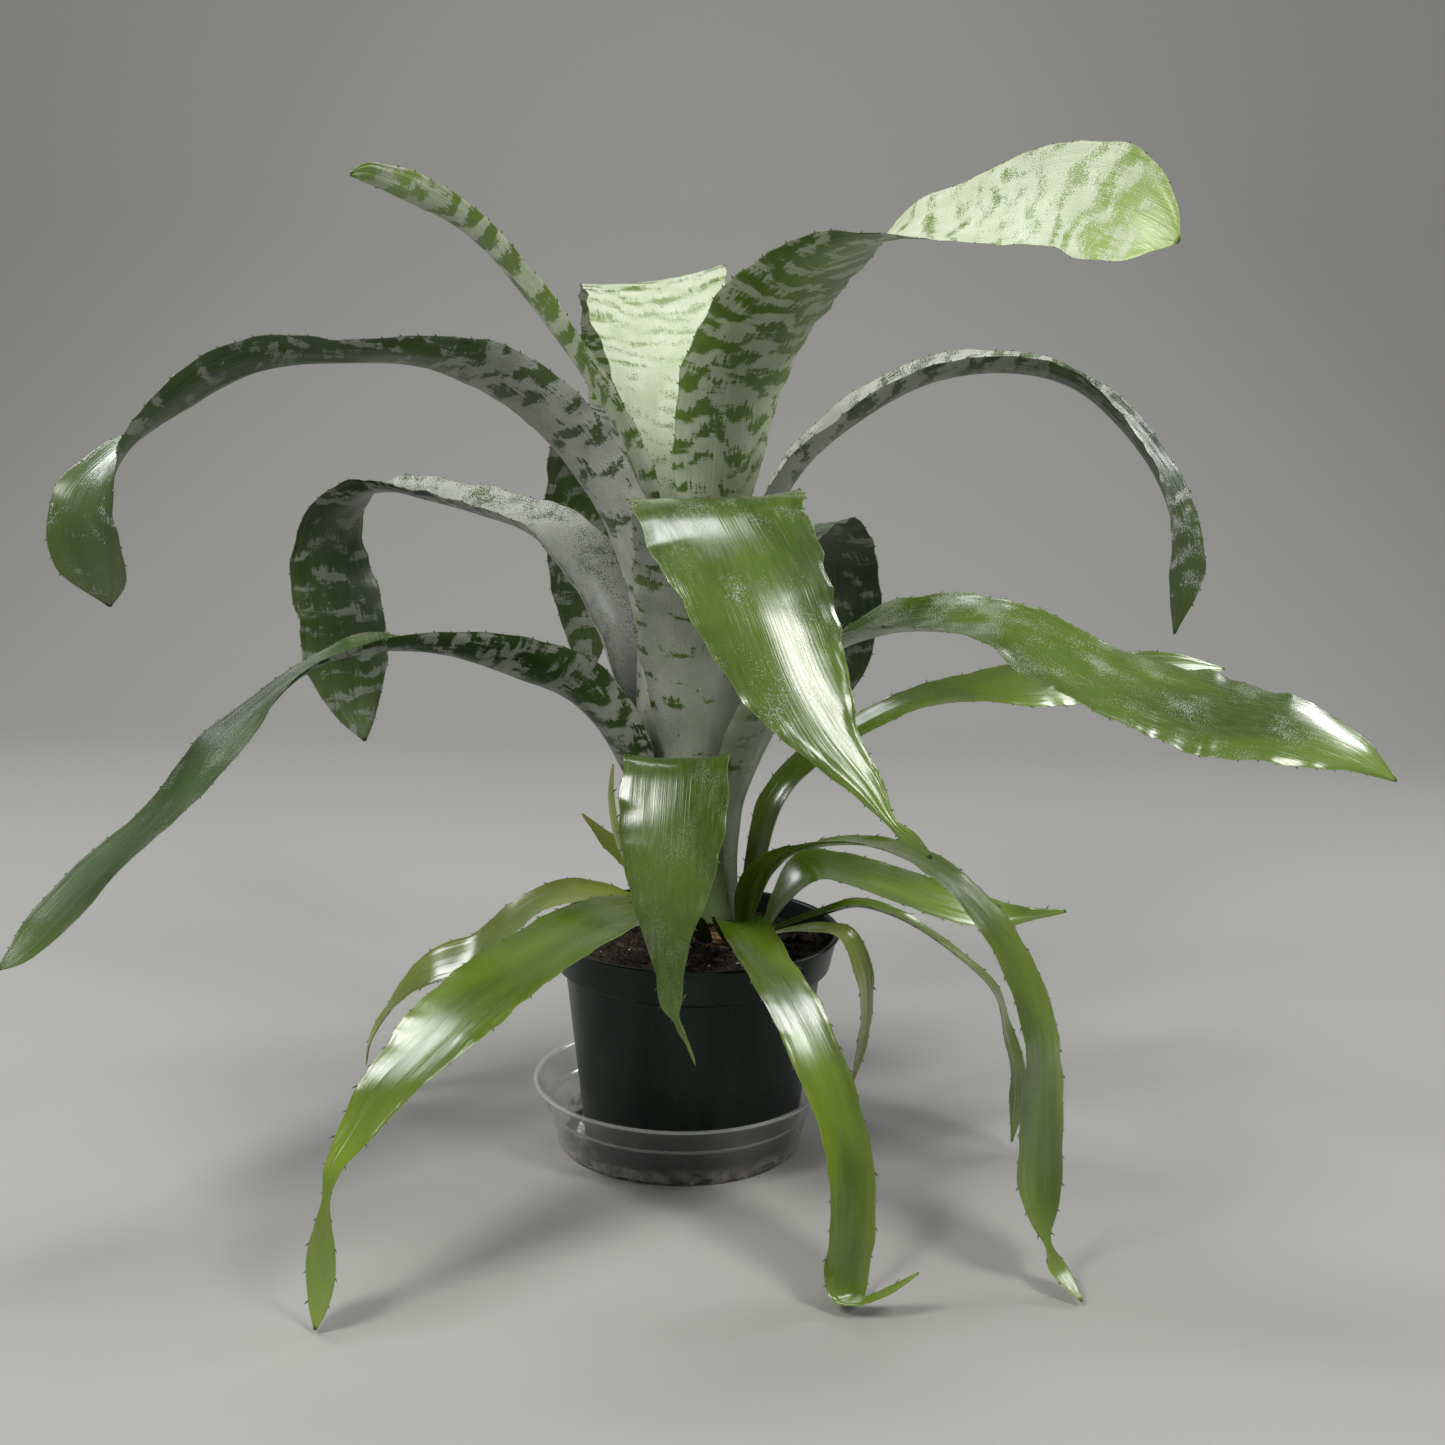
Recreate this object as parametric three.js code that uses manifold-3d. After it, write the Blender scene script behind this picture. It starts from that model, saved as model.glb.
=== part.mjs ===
// A silver vase bromeliad in a nursery pot, standing in a clear drip saucer.
// Millimetres, +Z up. The origin is the centre of the saucer's underside.
import * as THREE from 'three';
import Module from 'manifold-3d';
import { mergeVertices } from 'three/addons/utils/BufferGeometryUtils.js';

// ---------------------------------------------------------------- sizes

const ROUND_SIDES = 40;           // facets round the pot, saucer and potting mix

const POT_BASE_R = 60;
const POT_RIM_R = 82.5;
const POT_H = 124;
const POT_WALL = 1.6;
const POT_BAND_H = 22;            // height of the collar below the rim
const POT_BAND_STEP = 5;          // how far the collar stands proud of the wall
const POT_FLARE = 4;              // how much the collar itself opens towards the rim
const POT_LIP = 1.5;              // width of the turned-out lip at the very top
const POT_OFF_X = 6.5;            // the pot stands off the saucer's centre
const POT_REST = 0.3;             // gap between the pot's underside and the saucer
const DRAIN_HOLES = 6;
const DRAIN_R = 5;
const DRAIN_RING = 0.78;          // the holes' ring, as a share of the base radius
const DRAIN_SIDES = 10;

const SAUCER_ROOM = 2.5;          // spare floor beyond the off-centre pot's base
const SAUCER_STEP_OUT = 6.5;      // how much wider the ring half way up is than the floor
const SAUCER_RIM_OUT = 14.5;      // and the rolled lip
const SAUCER_STEP_H = 20.5;
const SAUCER_H = 37;
const SAUCER_WALL = 1.2;
const SAUCER_LEDGE = 1.6;         // width of the ring's step
const SAUCER_LIP = 2.4;           // width of the rolled lip

const SOIL_BELOW_RIM = 10;
const SOIL_GAP = 0.3;
const SOIL_SHRINK = 1.2;          // the mix shrinks back from the wall at its surface
const SOIL_SAG = 2;               // its surface sags between the crown and the wall,
const SOIL_SAG_AT = 0.75;         // lowest at this share of its radius,
const SOIL_EDGE_DROP = 1;         // and ends at the wall this far below the crown

const CROWN_X = 22;               // the crown's place at soil level
const CROWN_Y = 8;
const NECK_SHIFT = 20;            // the neck leans this far to -X ...
const NECK_RISE = 100;            // ... over this height, then stands upright
const NECK_R = 14;                // funnel of sheaths: radius of its neck ...
const VASE_R = 43;                // ... and of its mouth
const VASE_FROM = 20;             // heights between which it widens
const VASE_TO = 120;
const LAYERS = 5;                 // sheaths overlap in this many layers
const LAYER_SHARE = 0.11;         // each layer lies this share of the radius further in
const SHEATH_FOOT = 12;           // height of the lowest sheath section above the mix
const SHEATH_STEP = 18;           // height between sheath sections
const SHEATH_WRAP = 40;           // most degrees that a sheath wraps to each side

const STEM_R = 6;                 // the short stem's foot, in the mix
const STEM_ROOM = 1.84;           // its top keeps this far inside the innermost sheath
const STEM_TOP = 26;
const STEM_TIP_H = 2;             // its top narrows over this height
const STEM_COLLAR_R = 11.5;       // old leaf scars round the stem's foot
const STEM_COLLAR_H = 8;
const STEM_COLLAR_STEP = 2;       // how far the collar's middle stands out
const STEM_SIDES = 16;
const STEM_FOOT = 6;              // how far the stem goes into the mix
const STEM_GAP = 0.3;             // clearance of its socket in the mix

const LEAF_THICK = 1;
const TIP_HALF_WIDTH = 1;
const BLADE_STEPS = 2;            // sections for each stretch between stations
const DRAWN_RIM = 125.5;          // rim height that the low leaves' over rows are for
const DRAWN_THICK = 1;            // leaf thickness that the stations are for

// Sizes that follow from the ones above.
const SAUCER_BASE_R = POT_BASE_R + POT_OFF_X + SAUCER_ROOM;
const POT_FLOOR_Z = SAUCER_WALL + POT_REST;
const POT_TOP_Z = POT_FLOOR_Z + POT_H;
const SOIL_Z = POT_TOP_Z - SOIL_BELOW_RIM;

// ---------------------------------------------------------------- leaves

// A station is [reach, sway, height, half width, twist, cup].
//   reach   out from the crown's axis, along the leaf's azimuth
//   sway    to the left of that direction
//   height  above the soil
//   twist   degrees about the leaf's own direction
//   cup     degrees that each half curls up towards the upper face
// Azimuth is in degrees from +X towards +Y. Layer 0 is the innermost sheath, and
// sheath is the height at which the leaf leaves the funnel.

const ROSETTE = [
  { name: 'leaf_top_right', azimuth: -42, layer: 0, sheath: 212, stations: [
    [28, 0, 262, 35, -4, 38], [36, -2, 308, 37, -12, 32], [60, -7, 342, 37, -14, 27],
    [93, -15, 364, 35, -8, 27], [122, -18, 377, 34, 4, 32], [147, -15, 384, 33, 20, 31],
    [169, -7, 389, 32, 34, 26], [196, 1, 396, 32, 47, 16], [223, 10, 400, 32, 56, 12],
    [246, 18, 394, 31, 50, 12], [259, 27, 387, 18, 45, 16], [267, 33, 381, 1, 45, 14]] },
  { name: 'leaf_top_back', azimuth: 102, layer: 0, sheath: 212, stations: [
    [30, 0, 256, 33, 0, 38], [46, 1, 305, 39, 0, 28], [78, 4, 340, 43, -6, 22],
    [118, 2, 366, 44, -10, 12], [165, 0, 358, 41, 0, 10], [206, 0, 318, 34, 0, 14],
    [228, 0, 262, 18, 0, 18], [236, 0, 222, 1, 0, 18]] },
  { name: 'leaf_top_left', azimuth: 185, layer: 0, sheath: 212, stations: [
    [28, 0, 256, 27, 0, 40], [46, 0, 294, 26, 4, 40], [82, 0, 345, 25, 8, 38],
    [116, -4, 385, 20, 18, 34], [144, 0, 404, 14, 36, 30], [162, 0, 412, 10, 46, 24],
    [172, 3, 415, 7, 50, 18], [180, 6, 414, 1, 50, 14]] },
  { name: 'leaf_right_arch', azimuth: -5, layer: 1, sheath: 176, stations: [
    [42, 0, 232, 33, 0, 40], [60, 0, 266, 33, 3, 44], [85, 3, 290, 32, 6, 45],
    [124, 3, 313, 29, 6, 45], [164, 3, 320, 27, 5, 45], [198, 1, 314, 25, 4, 44],
    [224, -1, 296, 24, 12, 40], [247, -5, 269, 22, 21, 30], [260, -10, 240, 20, 32, 22],
    [262, -12, 215, 17, 42, 20], [260, -12, 185, 1, 46, 20]] },
  { name: 'leaf_left_arch', azimuth: 203, layer: 1, sheath: 176, stations: [
    [44, 0, 230, 34, 4, 40], [60, -2, 262, 34, 12, 37], [85, 0, 291, 33, 18, 35],
    [118, 2, 312, 31, 22, 36], [154, 5, 320, 26, 12, 43], [187, 3, 320, 23, 8, 45],
    [214, -2, 319, 23, 16, 43], [243, 0, 313, 25, 26, 30], [270, 0, 296, 24, 22, 29],
    [298, 1, 272, 25, -4, 36], [314, 5, 247, 25, -34, 20], [311, 6, 218, 22, -40, 12],
    [305, 0, 201, 1, -40, 10]] },
  { name: 'leaf_back_left', azimuth: 110, layer: 1, sheath: 176, stations: [
    [46, 0, 232, 34, 0, 38], [90, 0, 280, 34, 0, 26], [140, 0, 292, 34, 0, 16],
    [186, 0, 254, 33, 0, 14], [207, 0, 195, 28, 0, 16], [206, 0, 140, 14, 0, 18],
    [203, 0, 116, 1, 0, 18]] },
  { name: 'leaf_front', azimuth: -80, layer: 2, sheath: 130, stations: [
    [50, 0, 176, 38, 0, 36], [84, -3, 222, 42, 0, 26], [126, -8, 256, 42, 2, 12],
    [168, -14, 260, 42, 0, -8], [200, -7, 241, 40, -2, -16], [220, 1, 218, 35, -4, -20],
    [236, 9, 192, 28, -5, -18], [249, 20, 170, 17, -4, -8], [262, 36, 149, 8, -4, 0],
    [270, 45, 135, 2.5, 10, 4], [275, 53, 128, 4, 50, 20], [280, 60, 122, 1, 60, 20]] },
  { name: 'leaf_left_mid', azimuth: 150, layer: 2, sheath: 130, stations: [
    [58, 0, 184, 34, 0, 40], [96, 0, 222, 34, 0, 37], [134, 0, 232, 34, 0, 36],
    [172, 0, 238, 31, 0, 34], [206, 0, 242, 28, 0, 36], [234, 0, 237, 26, 0, 34],
    [252, 0, 221, 27, 6, 18], [257, 0, 196, 31, 12, 12], [249, 0, 163, 32, 18, 10],
    [243, 3, 135, 29, 22, 13], [235, 6, 108, 17, 22, 14], [226, 10, 89, 1, 22, 16]] },
  { name: 'leaf_back_right', azimuth: 62, layer: 2, sheath: 130, stations: [
    [60, 0, 178, 33, 0, 38], [106, 0, 215, 33, 0, 26], [150, 0, 224, 33, 0, 16],
    [182, 0, 198, 32, 0, 14], [196, 0, 158, 28, 0, 16], [208, 0, 125, 14, 0, 18],
    [214, 0, 108, 1, 0, 18]] },
  { name: 'leaf_right', azimuth: -32, layer: 3, sheath: 94, stations: [
    [60, 0, 142, 32, 0, 42], [93, -6, 174, 31, 6, 42], [128, -12, 190, 30, 11, 42],
    [158, -13, 196, 29, 12, 34], [194, -12, 197, 28, 15, 14], [214, -10, 189, 30, 17, 0],
    [248, -3, 178, 32, 18, -14], [292, 9, 167, 34, 24, -18], [328, 19, 161, 29, 22, -18],
    [355, 29, 151, 18, 14, -13], [373, 36, 137, 1, 13, -10]] },
  { name: 'leaf_left_low', azimuth: 207, layer: 3, sheath: 94, stations: [
    [50, 0, 124, 30, 8, 40], [68, 0, 145, 28, 24, 43], [94, 2, 159, 24, 36, 46],
    [124, 4, 169, 21, 28, 46], [152, 0, 174, 20, 15, 46], [182, -8, 174, 20, 0, 42],
    [207, -18, 165, 14, 4, 28], [231, -20, 148, 22, 2, 12], [257, -12, 128, 26, -8, 4],
    [286, -10, 99, 28, 0, 0], [320, -2, 75, 28, 0, 10], [350, 13, 56, 23, -5, 13],
    [370, 20, 44, 12, -6, 14], [382, 23, 40, 1, -6, 14]] },
  { name: 'leaf_back_low', azimuth: 84, layer: 3, sheath: 94, stations: [
    [60, 0, 134, 31, 0, 38], [104, 0, 160, 31, 0, 26], [146, 0, 162, 30, 0, 16],
    [182, 0, 132, 28, 0, 14], [198, 0, 92, 22, 0, 16], [200, 0, 50, 1, 0, 18]] },
  { name: 'leaf_front_short', azimuth: -97, layer: 4, sheath: 48, stations: [
    [44, 0, 86, 28, 2, 34], [60, 3, 112, 29, 4, 20], [80, 5, 121, 29, 2, 4],
    [96, 6, 104, 29, 0, -9], [107, 5, 84, 28, 0, -12], [116, 1, 63, 22, 3, -14],
    [123, -4, 44, 15, 4, -10], [129, -7, 24, 8, 4, 0], [132, -8, 6, 5.5, 8, 8],
    [133, -5, -1, 2, 30, 10], [134, -1, -9, 5.5, 70, 14], [136, 5, -23, 1, 80, 14]] },
];

// The low green leaves rise straight from the soil round the crown. Their first
// stations are measured like the ones above. Those in over are past the pot's rim:
// reach is measured from the rim's radius, and height from the bench, which the code
// stretches with the height of the rim.
const OFFSETS = [
  { name: 'low_leaf_right_stalk', azimuth: 28, near: [
    [17, 0, 2, 6, 0, 50], [24, 0, 20, 10, 0, 48], [36, 0, 46, 13, 0, 46],
    [55, 0, 75, 15, 0, 43], [82, 2, 96, 14, 6, 40], [120, 6, 113, 12, 14, 34],
    [152, 6, 124, 12, 20, 28], [186, 4, 129, 16, 20, 14], [222, 0, 130, 20, 30, 8],
    [285, 0, 131, 18, 45, 8], [345, 0, 134, 13, 45, 10], [389, 0, 131, 1, 45, 10]],
    over: [] },
  { name: 'low_leaf_front_left', azimuth: 232, near: [
    [17, 0, 2, 7, 0, 44], [32, 1, 18, 14, 0, 32], [60, 3, 32, 22, 0, 20]], over: [
    [10, 5, 151, 27, 0, 10], [48, 6, 148, 29, 2, 6], [82, 3, 141, 30, 3, 2],
    [118, 0, 130, 30, 3, -3], [148, 0, 116, 25, 3, -5], [172, 0, 103, 17, 0, -3],
    [190, 0, 86, 11, -3, 4], [203, 0, 73, 6, 0, 8], [207, 0, 60, 3, 0, 10],
    [210, 0, 35, 10, -4, 12], [214, 2, 14, 8, 0, 12], [219, 4, 2, 1, 0, 10]] },
  { name: 'low_leaf_left_back', azimuth: 172, near: [
    [17, 0, 2, 4, 0, 40], [40, 0, 14, 8, 0, 30], [69, 0, 22, 15, -6, 18]], over: [
    [14, 0, 134, 18, -14, 14], [38, 0, 119, 17, -24, 12], [62, 0, 98, 16, -30, 9],
    [86, 0, 88, 14, -34, 9], [104, 0, 73, 9, -30, 12], [115, 0, 58, 6, -24, 12],
    [125, 2, 40, 4, -24, 12], [127, 4, 26, 1, -24, 12]] },
  { name: 'low_leaf_left_small', azimuth: 142, near: [
    [20, 0, 4, 3, 0, 40], [42, 0, 22, 8, 0, 34], [62, 0, 34, 11, 0, 26],
    [78, 0, 46, 7, 0, 20], [90, 0, 58, 1, 0, 20]], over: [] },
  { name: 'low_leaf_front_right', azimuth: -70, near: [
    [17, 0, 2, 4, 0, 44], [32, -3, 16, 11, 0, 36], [56, -6, 26, 16, -6, 26]], over: [
    [4, -9, 136, 18, -12, 14], [30, -8, 128, 20, -18, 4], [62, -4, 108, 21, -24, -4],
    [84, 0, 86, 20, -28, -6], [102, 1, 62, 19, -30, 2], [116, -3, 34, 19, -30, 8],
    [128, -11, 12, 16, -30, 6], [135, -14, 6, 8, -12, 4], [141, -9, 7, 6, 16, 6],
    [147, 3, 13, 6, 42, 10], [152, 16, 23, 1, 50, 14]] },
  { name: 'low_leaf_right_arch', azimuth: -46, near: [
    [17, 0, 2, 4, 0, 46], [25, 0, 20, 9, 0, 42], [42, 0, 43, 15, 0, 36],
    [68, 0, 62, 17, 0, 30], [108, 2, 77, 17, -3, 24]], over: [
    [62, 5, 197, 18, -8, 16], [96, 9, 187, 18, -13, 7], [122, 11, 159, 18, -13, -2],
    [136, 8, 118, 19, -10, 2], [142, 3, 78, 20, -3, 7], [147, -3, 46, 18, 0, 8],
    [154, -8, 30, 10, -4, 10], [159, -9, 22, 3, -6, 10], [166, -10, 12, 7, -4, 12],
    [184, -14, 3, 1, -3, 12]] },
  { name: 'low_leaf_back_right', azimuth: 17, near: [
    [28, 0, 4, 6, 0, 40], [40, 0, 21, 12, 4, 30], [60, 0, 37, 20, 10, 18]], over: [
    [0, -1, 149, 22, 16, 12], [28, -2, 139, 23, 20, 8], [54, -4, 129, 20, 24, 8],
    [80, -6, 121, 13, 36, 10], [102, -4, 118, 6, 50, 14], [134, 0, 117, 1, 60, 12]] },
  { name: 'low_leaf_right_thin', azimuth: -5, near: [
    [21, 0, 3, 3, 0, 44], [45, 0, 12, 7, 0, 40], [66, 0, 20, 8, 0, 36]], over: [
    [-2, 0, 139, 9, 0, 34], [22, 0, 132, 9, 0, 28], [52, 0, 112, 9, 0, 20],
    [73, 0, 93, 10, 6, 12], [80, -2, 72, 10, 16, 10], [87, -6, 50, 9, 30, 10],
    [88, -7, 28, 8, 40, 10], [86, -8, 6, 1, 40, 10]] },
  { name: 'low_leaf_right_small', azimuth: -26, near: [
    [22, 0, 2, 3, 0, 40], [40, 0, 10, 7, 0, 28], [60, 0, 15, 11, 0, 18]], over: [
    [-6, 1, 130, 12, -2, 12], [4, 0, 112, 12, 0, 8], [8, -3, 86, 10, 0, 8],
    [7, -8, 66, 6, 4, 10], [5, -11, 50, 1, 10, 12]] },
  { name: 'low_leaf_left_bud', azimuth: 200, near: [
    [18, 0, 2, 3, 0, 40], [36, 0, 22, 5, 0, 36], [48, 0, 56, 8, 0, 32],
    [47, 0, 84, 6, 0, 26], [44, 0, 104, 1, 0, 24]], over: [] },
];

// ---------------------------------------------------------------- materials

const finish = (color, roughness, metalness = 0, extra = {}) =>
  new THREE.MeshStandardMaterial({ color, roughness, metalness, ...extra });
const SILVER_LEAF = finish(0x7d9a78, 0.55);
const GREEN_LEAF = finish(0x4f8a2c, 0.35);
const YELLOW_LEAF = finish(0x9aa636, 0.45);
const POT_GREEN = finish(0x16261d, 0.5);
const CLEAR_PLASTIC = finish(0xd8dcd8, 0.12, 0, { transparent: true, opacity: 0.3 });
const SOIL_BROWN = finish(0x2b2119, 0.95);
const STEM_BROWN = finish(0x9a7c48, 0.7);

// ---------------------------------------------------------------- helpers

const radians = THREE.MathUtils.degToRad;
const smooth = (low, high, x) => THREE.MathUtils.smoothstep(x, low, high);

const wasm = await Module();
wasm.setup();

// A closed three.js geometry as a manifold-3d solid.
function toSolid(geometry) {
  const bare = geometry.clone();
  bare.deleteAttribute('normal');
  bare.deleteAttribute('uv');
  const merged = mergeVertices(bare, 1e-4);
  return new wasm.Manifold(new wasm.Mesh({
    numProp: 3,
    vertProperties: merged.attributes.position.array,
    triVerts: new Uint32Array(merged.index.array),
  }));
}

function toGeometry(solid) {
  const mesh = solid.getMesh();
  const geometry = new THREE.BufferGeometry();
  geometry.setAttribute('position', new THREE.BufferAttribute(mesh.vertProperties, 3));
  geometry.setIndex(new THREE.BufferAttribute(mesh.triVerts, 1));
  return geometry;
}

function part(name, geometry, material) {
  const mesh = new THREE.Mesh(geometry, material);
  mesh.name = name;
  return mesh;
}

// A solid turned about +Z from a closed outline of [radius, height] pairs, which
// runs up the outside and down the inside.
function turned(outline, sides = ROUND_SIDES) {
  const points = outline.map(([radius, height]) => new THREE.Vector2(radius, height));
  const geometry = new THREE.LatheGeometry([...points, points[0]], sides);
  return geometry.rotateX(Math.PI / 2);
}

// ---------------------------------------------------------------- pot, saucer, soil

function saucer() {
  const wall = SAUCER_WALL;
  const lipZ = SAUCER_H - wall;
  const stepR = SAUCER_BASE_R + SAUCER_STEP_OUT;
  const rimR = SAUCER_BASE_R + SAUCER_RIM_OUT;
  return turned([
    [0, 0], [SAUCER_BASE_R, 0],
    [stepR - SAUCER_LEDGE, SAUCER_STEP_H], [stepR, SAUCER_STEP_H + wall],
    [rimR - SAUCER_LIP, lipZ], [rimR, lipZ], [rimR, SAUCER_H],
    [rimR - SAUCER_LIP - wall, SAUCER_H], [stepR - wall, SAUCER_STEP_H + 2 * wall],
    [stepR - SAUCER_LEDGE - wall, SAUCER_STEP_H + wall],
    [SAUCER_BASE_R - wall, wall], [0, wall],
  ]);
}

const BAND_FOOT_H = POT_H - POT_BAND_H;
const WALL_TOP_R = POT_RIM_R - POT_LIP - POT_FLARE - POT_BAND_STEP;

function pot() {
  const wall = POT_WALL;
  const bandR = WALL_TOP_R + POT_BAND_STEP;
  const flareR = bandR + POT_FLARE;
  const shell = toSolid(turned([
    [0, 0], [POT_BASE_R, 0],
    [WALL_TOP_R, BAND_FOOT_H], [bandR, BAND_FOOT_H + wall], [flareR, POT_H - wall],
    [POT_RIM_R, POT_H - wall], [POT_RIM_R, POT_H],
    [flareR - wall, POT_H], [bandR - wall, BAND_FOOT_H + 2 * wall],
    [WALL_TOP_R - wall, BAND_FOOT_H + wall], [POT_BASE_R - wall, wall], [0, wall],
  ]));
  const drill = new THREE.CylinderGeometry(DRAIN_R, DRAIN_R, 4 * wall, DRAIN_SIDES)
    .rotateX(Math.PI / 2);
  let drilled = shell;
  for (let i = 0; i < DRAIN_HOLES; i++) {
    const turn = (2 * Math.PI * i) / DRAIN_HOLES;
    const ring = POT_BASE_R * DRAIN_RING;
    const hole = drill.clone().translate(ring * Math.cos(turn), ring * Math.sin(turn), 0);
    drilled = drilled.subtract(toSolid(hole));
  }
  return toGeometry(drilled).translate(POT_OFF_X, 0, POT_FLOOR_Z);
}

// The mix fills the pot to just below the rim. The stem's foot has a socket in it.
function soil() {
  const off = POT_WALL + 2 * SOIL_GAP;
  const floorH = POT_WALL + SOIL_GAP;
  const topH = POT_H - SOIL_BELOW_RIM;
  const bandH = BAND_FOOT_H + POT_WALL;
  const flareAtTop = POT_FLARE * (topH - bandH) / (POT_BAND_H - POT_WALL);
  const topR = WALL_TOP_R + POT_BAND_STEP + flareAtTop - off - SOIL_SHRINK;
  const filling = toSolid(turned([
    [0, floorH], [POT_BASE_R - off, floorH], [WALL_TOP_R - off, bandH - SOIL_GAP],
    [WALL_TOP_R + POT_BAND_STEP - off, bandH + 2 * POT_WALL],
    [topR, topH - SOIL_EDGE_DROP], [SOIL_SAG_AT * topR, topH - SOIL_SAG], [0, topH],
  ]).translate(POT_OFF_X, 0, POT_FLOOR_Z));
  const socketR = STEM_COLLAR_R + STEM_GAP;
  const socketH = STEM_FOOT + STEM_GAP;
  const socket = new THREE.CylinderGeometry(socketR, socketR, socketH * 2, STEM_SIDES)
    .rotateX(Math.PI / 2).translate(CROWN_X, CROWN_Y, SOIL_Z);
  return toGeometry(filling.subtract(toSolid(socket)));
}

// ---------------------------------------------------------------- crown and leaves

// The crown's axis leans as it leaves the soil, and then stands upright.
function axisAt(height) {
  const x = CROWN_X - NECK_SHIFT * smooth(0, NECK_RISE, height);
  return new THREE.Vector3(x, CROWN_Y, SOIL_Z + height);
}

// Thicker leaves push the ones outside them further out, layer by layer.
function pushedOut(layer) {
  return (layer + 1) * (LEAF_THICK - DRAWN_THICK);
}

// Radius of a layer of the funnel at a height above the soil.
function sheathRadius(layer, height) {
  const outer = NECK_R + (VASE_R - NECK_R) * smooth(VASE_FROM, VASE_TO, height);
  return outer * (1 - LAYER_SHARE * (LAYERS - 1 - layer)) + pushedOut(layer);
}

function stem() {
  const edgeR = STEM_COLLAR_R - STEM_COLLAR_STEP;
  const topR = sheathRadius(0, SHEATH_FOOT) - STEM_ROOM;
  return turned([
    [0, -STEM_FOOT], [STEM_R, -STEM_FOOT], [edgeR, 0],
    [STEM_COLLAR_R, STEM_COLLAR_H / 2], [edgeR, STEM_COLLAR_H],
    [topR, SHEATH_FOOT - 1], [topR / 2, STEM_TOP - STEM_TIP_H], [0, STEM_TOP],
  ], STEM_SIDES).translate(CROWN_X, CROWN_Y, SOIL_Z);
}

// Stations as knots: a place, a half width, a twist and a cup.
function knot(azimuth, [reach, sway, height, halfWidth, twist, cup]) {
  const turn = radians(azimuth);
  const place = axisAt(height);
  place.x += reach * Math.cos(turn) - sway * Math.sin(turn);
  place.y += reach * Math.sin(turn) + sway * Math.cos(turn);
  return { place, halfWidth, twist: radians(twist), cup: radians(cup) };
}

// Knots up the funnel: each section is an arc round the crown's axis.
function sheathKnots({ azimuth, layer, sheath, stations }) {
  const knots = [];
  const bladeHalf = stations[0][3];
  for (let height = SHEATH_FOOT; height <= sheath; height += SHEATH_STEP) {
    const radius = sheathRadius(layer, height);
    const wrap = Math.min(SHEATH_WRAP, THREE.MathUtils.radToDeg(bladeHalf / radius));
    knots.push(knot(azimuth, [radius, 0, height, radius * radians(wrap), 0, wrap]));
  }
  return knots;
}

// A ribbon through the knots, closed at both ends. Each section is a thin lens: its
// two edges are single points, and it follows an arc that is cupped by the knot's
// angle. Stretches below the first blade knot keep one section for each knot.
const ACROSS = [-0.55, 0, 0.55];
function ribbon(azimuth, knots, plain) {
  const curve = new THREE.CatmullRomCurve3(knots.map((k) => k.place), false, 'centripetal');
  const last = knots.length - 1;
  const spots = [];
  for (let i = 0; i < last; i++) {
    const steps = i < plain ? 1 : BLADE_STEPS;
    for (let j = 0; j < steps; j++) spots.push(i + j / steps);
  }
  spots.push(last);

  const side = new THREE.Vector3(-Math.sin(radians(azimuth)), Math.cos(radians(azimuth)), 0);
  const positions = [];
  for (const spot of spots) {
    const i = Math.min(Math.floor(spot), last - 1);
    const mix = (key) => THREE.MathUtils.lerp(knots[i][key], knots[i + 1][key], spot - i);
    const centre = curve.getPoint(spot / last);
    const along = curve.getTangent(spot / last);
    const across = side.clone().addScaledVector(along, -side.dot(along)).normalize();
    across.applyAxisAngle(along, mix('twist'));
    const up = along.clone().cross(across);
    const half = Math.max(mix('halfWidth'), TIP_HALF_WIDTH);
    const cup = Math.abs(mix('cup')) < 0.01 ? 0.01 : mix('cup');
    const bend = half / cup;
    const at = (u, lift) => centre.clone()
      .addScaledVector(across, (bend - lift) * Math.sin(u * cup))
      .addScaledVector(up, bend - (bend - lift) * Math.cos(u * cup));
    const thick = Math.min(LEAF_THICK, half) / 2;
    const ring = [at(-1, 0), ...ACROSS.map((u) => at(u, thick)), at(1, 0),
      ...[...ACROSS].reverse().map((u) => at(u, -thick))];
    ring.forEach((p) => positions.push(p.x, p.y, p.z));
  }

  // Both faces of the blade split each patch along the same diagonal, so that they
  // stay a leaf's thickness apart where it twists.
  const size = 2 * ACROSS.length + 2;
  const faces = [];
  for (let i = 0; i + 1 < spots.length; i++) {
    for (let j = 0; j < size; j++) {
      const [a, b] = [i * size + j, i * size + (j + 1) % size];
      if (j < size / 2) faces.push(a, a + size, b, b, a + size, b + size);
      else faces.push(a, b + size, b, a, a + size, b + size);
    }
  }
  const end = (spots.length - 1) * size;
  for (let j = 1; j + 1 < size; j++) {
    faces.push(0, j, j + 1, end, end + j + 1, end + j);
  }
  const geometry = new THREE.BufferGeometry();
  geometry.setAttribute('position', new THREE.Float32BufferAttribute(positions, 3));
  geometry.setIndex(faces);
  return geometry;
}

// The same stations, further out from the crown.
function movedOut(stations, distance) {
  return stations.map(([reach, ...rest]) => [reach + distance, ...rest]);
}

function rosetteLeaf(leaf) {
  const foot = sheathKnots(leaf);
  const stations = movedOut(leaf.stations, pushedOut(leaf.layer));
  const blade = stations.map((station) => knot(leaf.azimuth, station));
  return part(leaf.name, ribbon(leaf.azimuth, [...foot, ...blade], foot.length), SILVER_LEAF);
}

function lowLeaf(leaf) {
  const past = leaf.over.map(([out, sway, height, ...shape]) =>
    [POT_RIM_R + out, sway, height * POT_TOP_Z / DRAWN_RIM - SOIL_Z, ...shape]);
  const near = movedOut(leaf.near, pushedOut(LAYERS));
  const knots = [...near, ...past].map((station) => knot(leaf.azimuth, station));
  const yellow = /small|bud|left_back/.test(leaf.name);
  return part(leaf.name, ribbon(leaf.azimuth, knots, 0), yellow ? YELLOW_LEAF : GREEN_LEAF);
}

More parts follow.
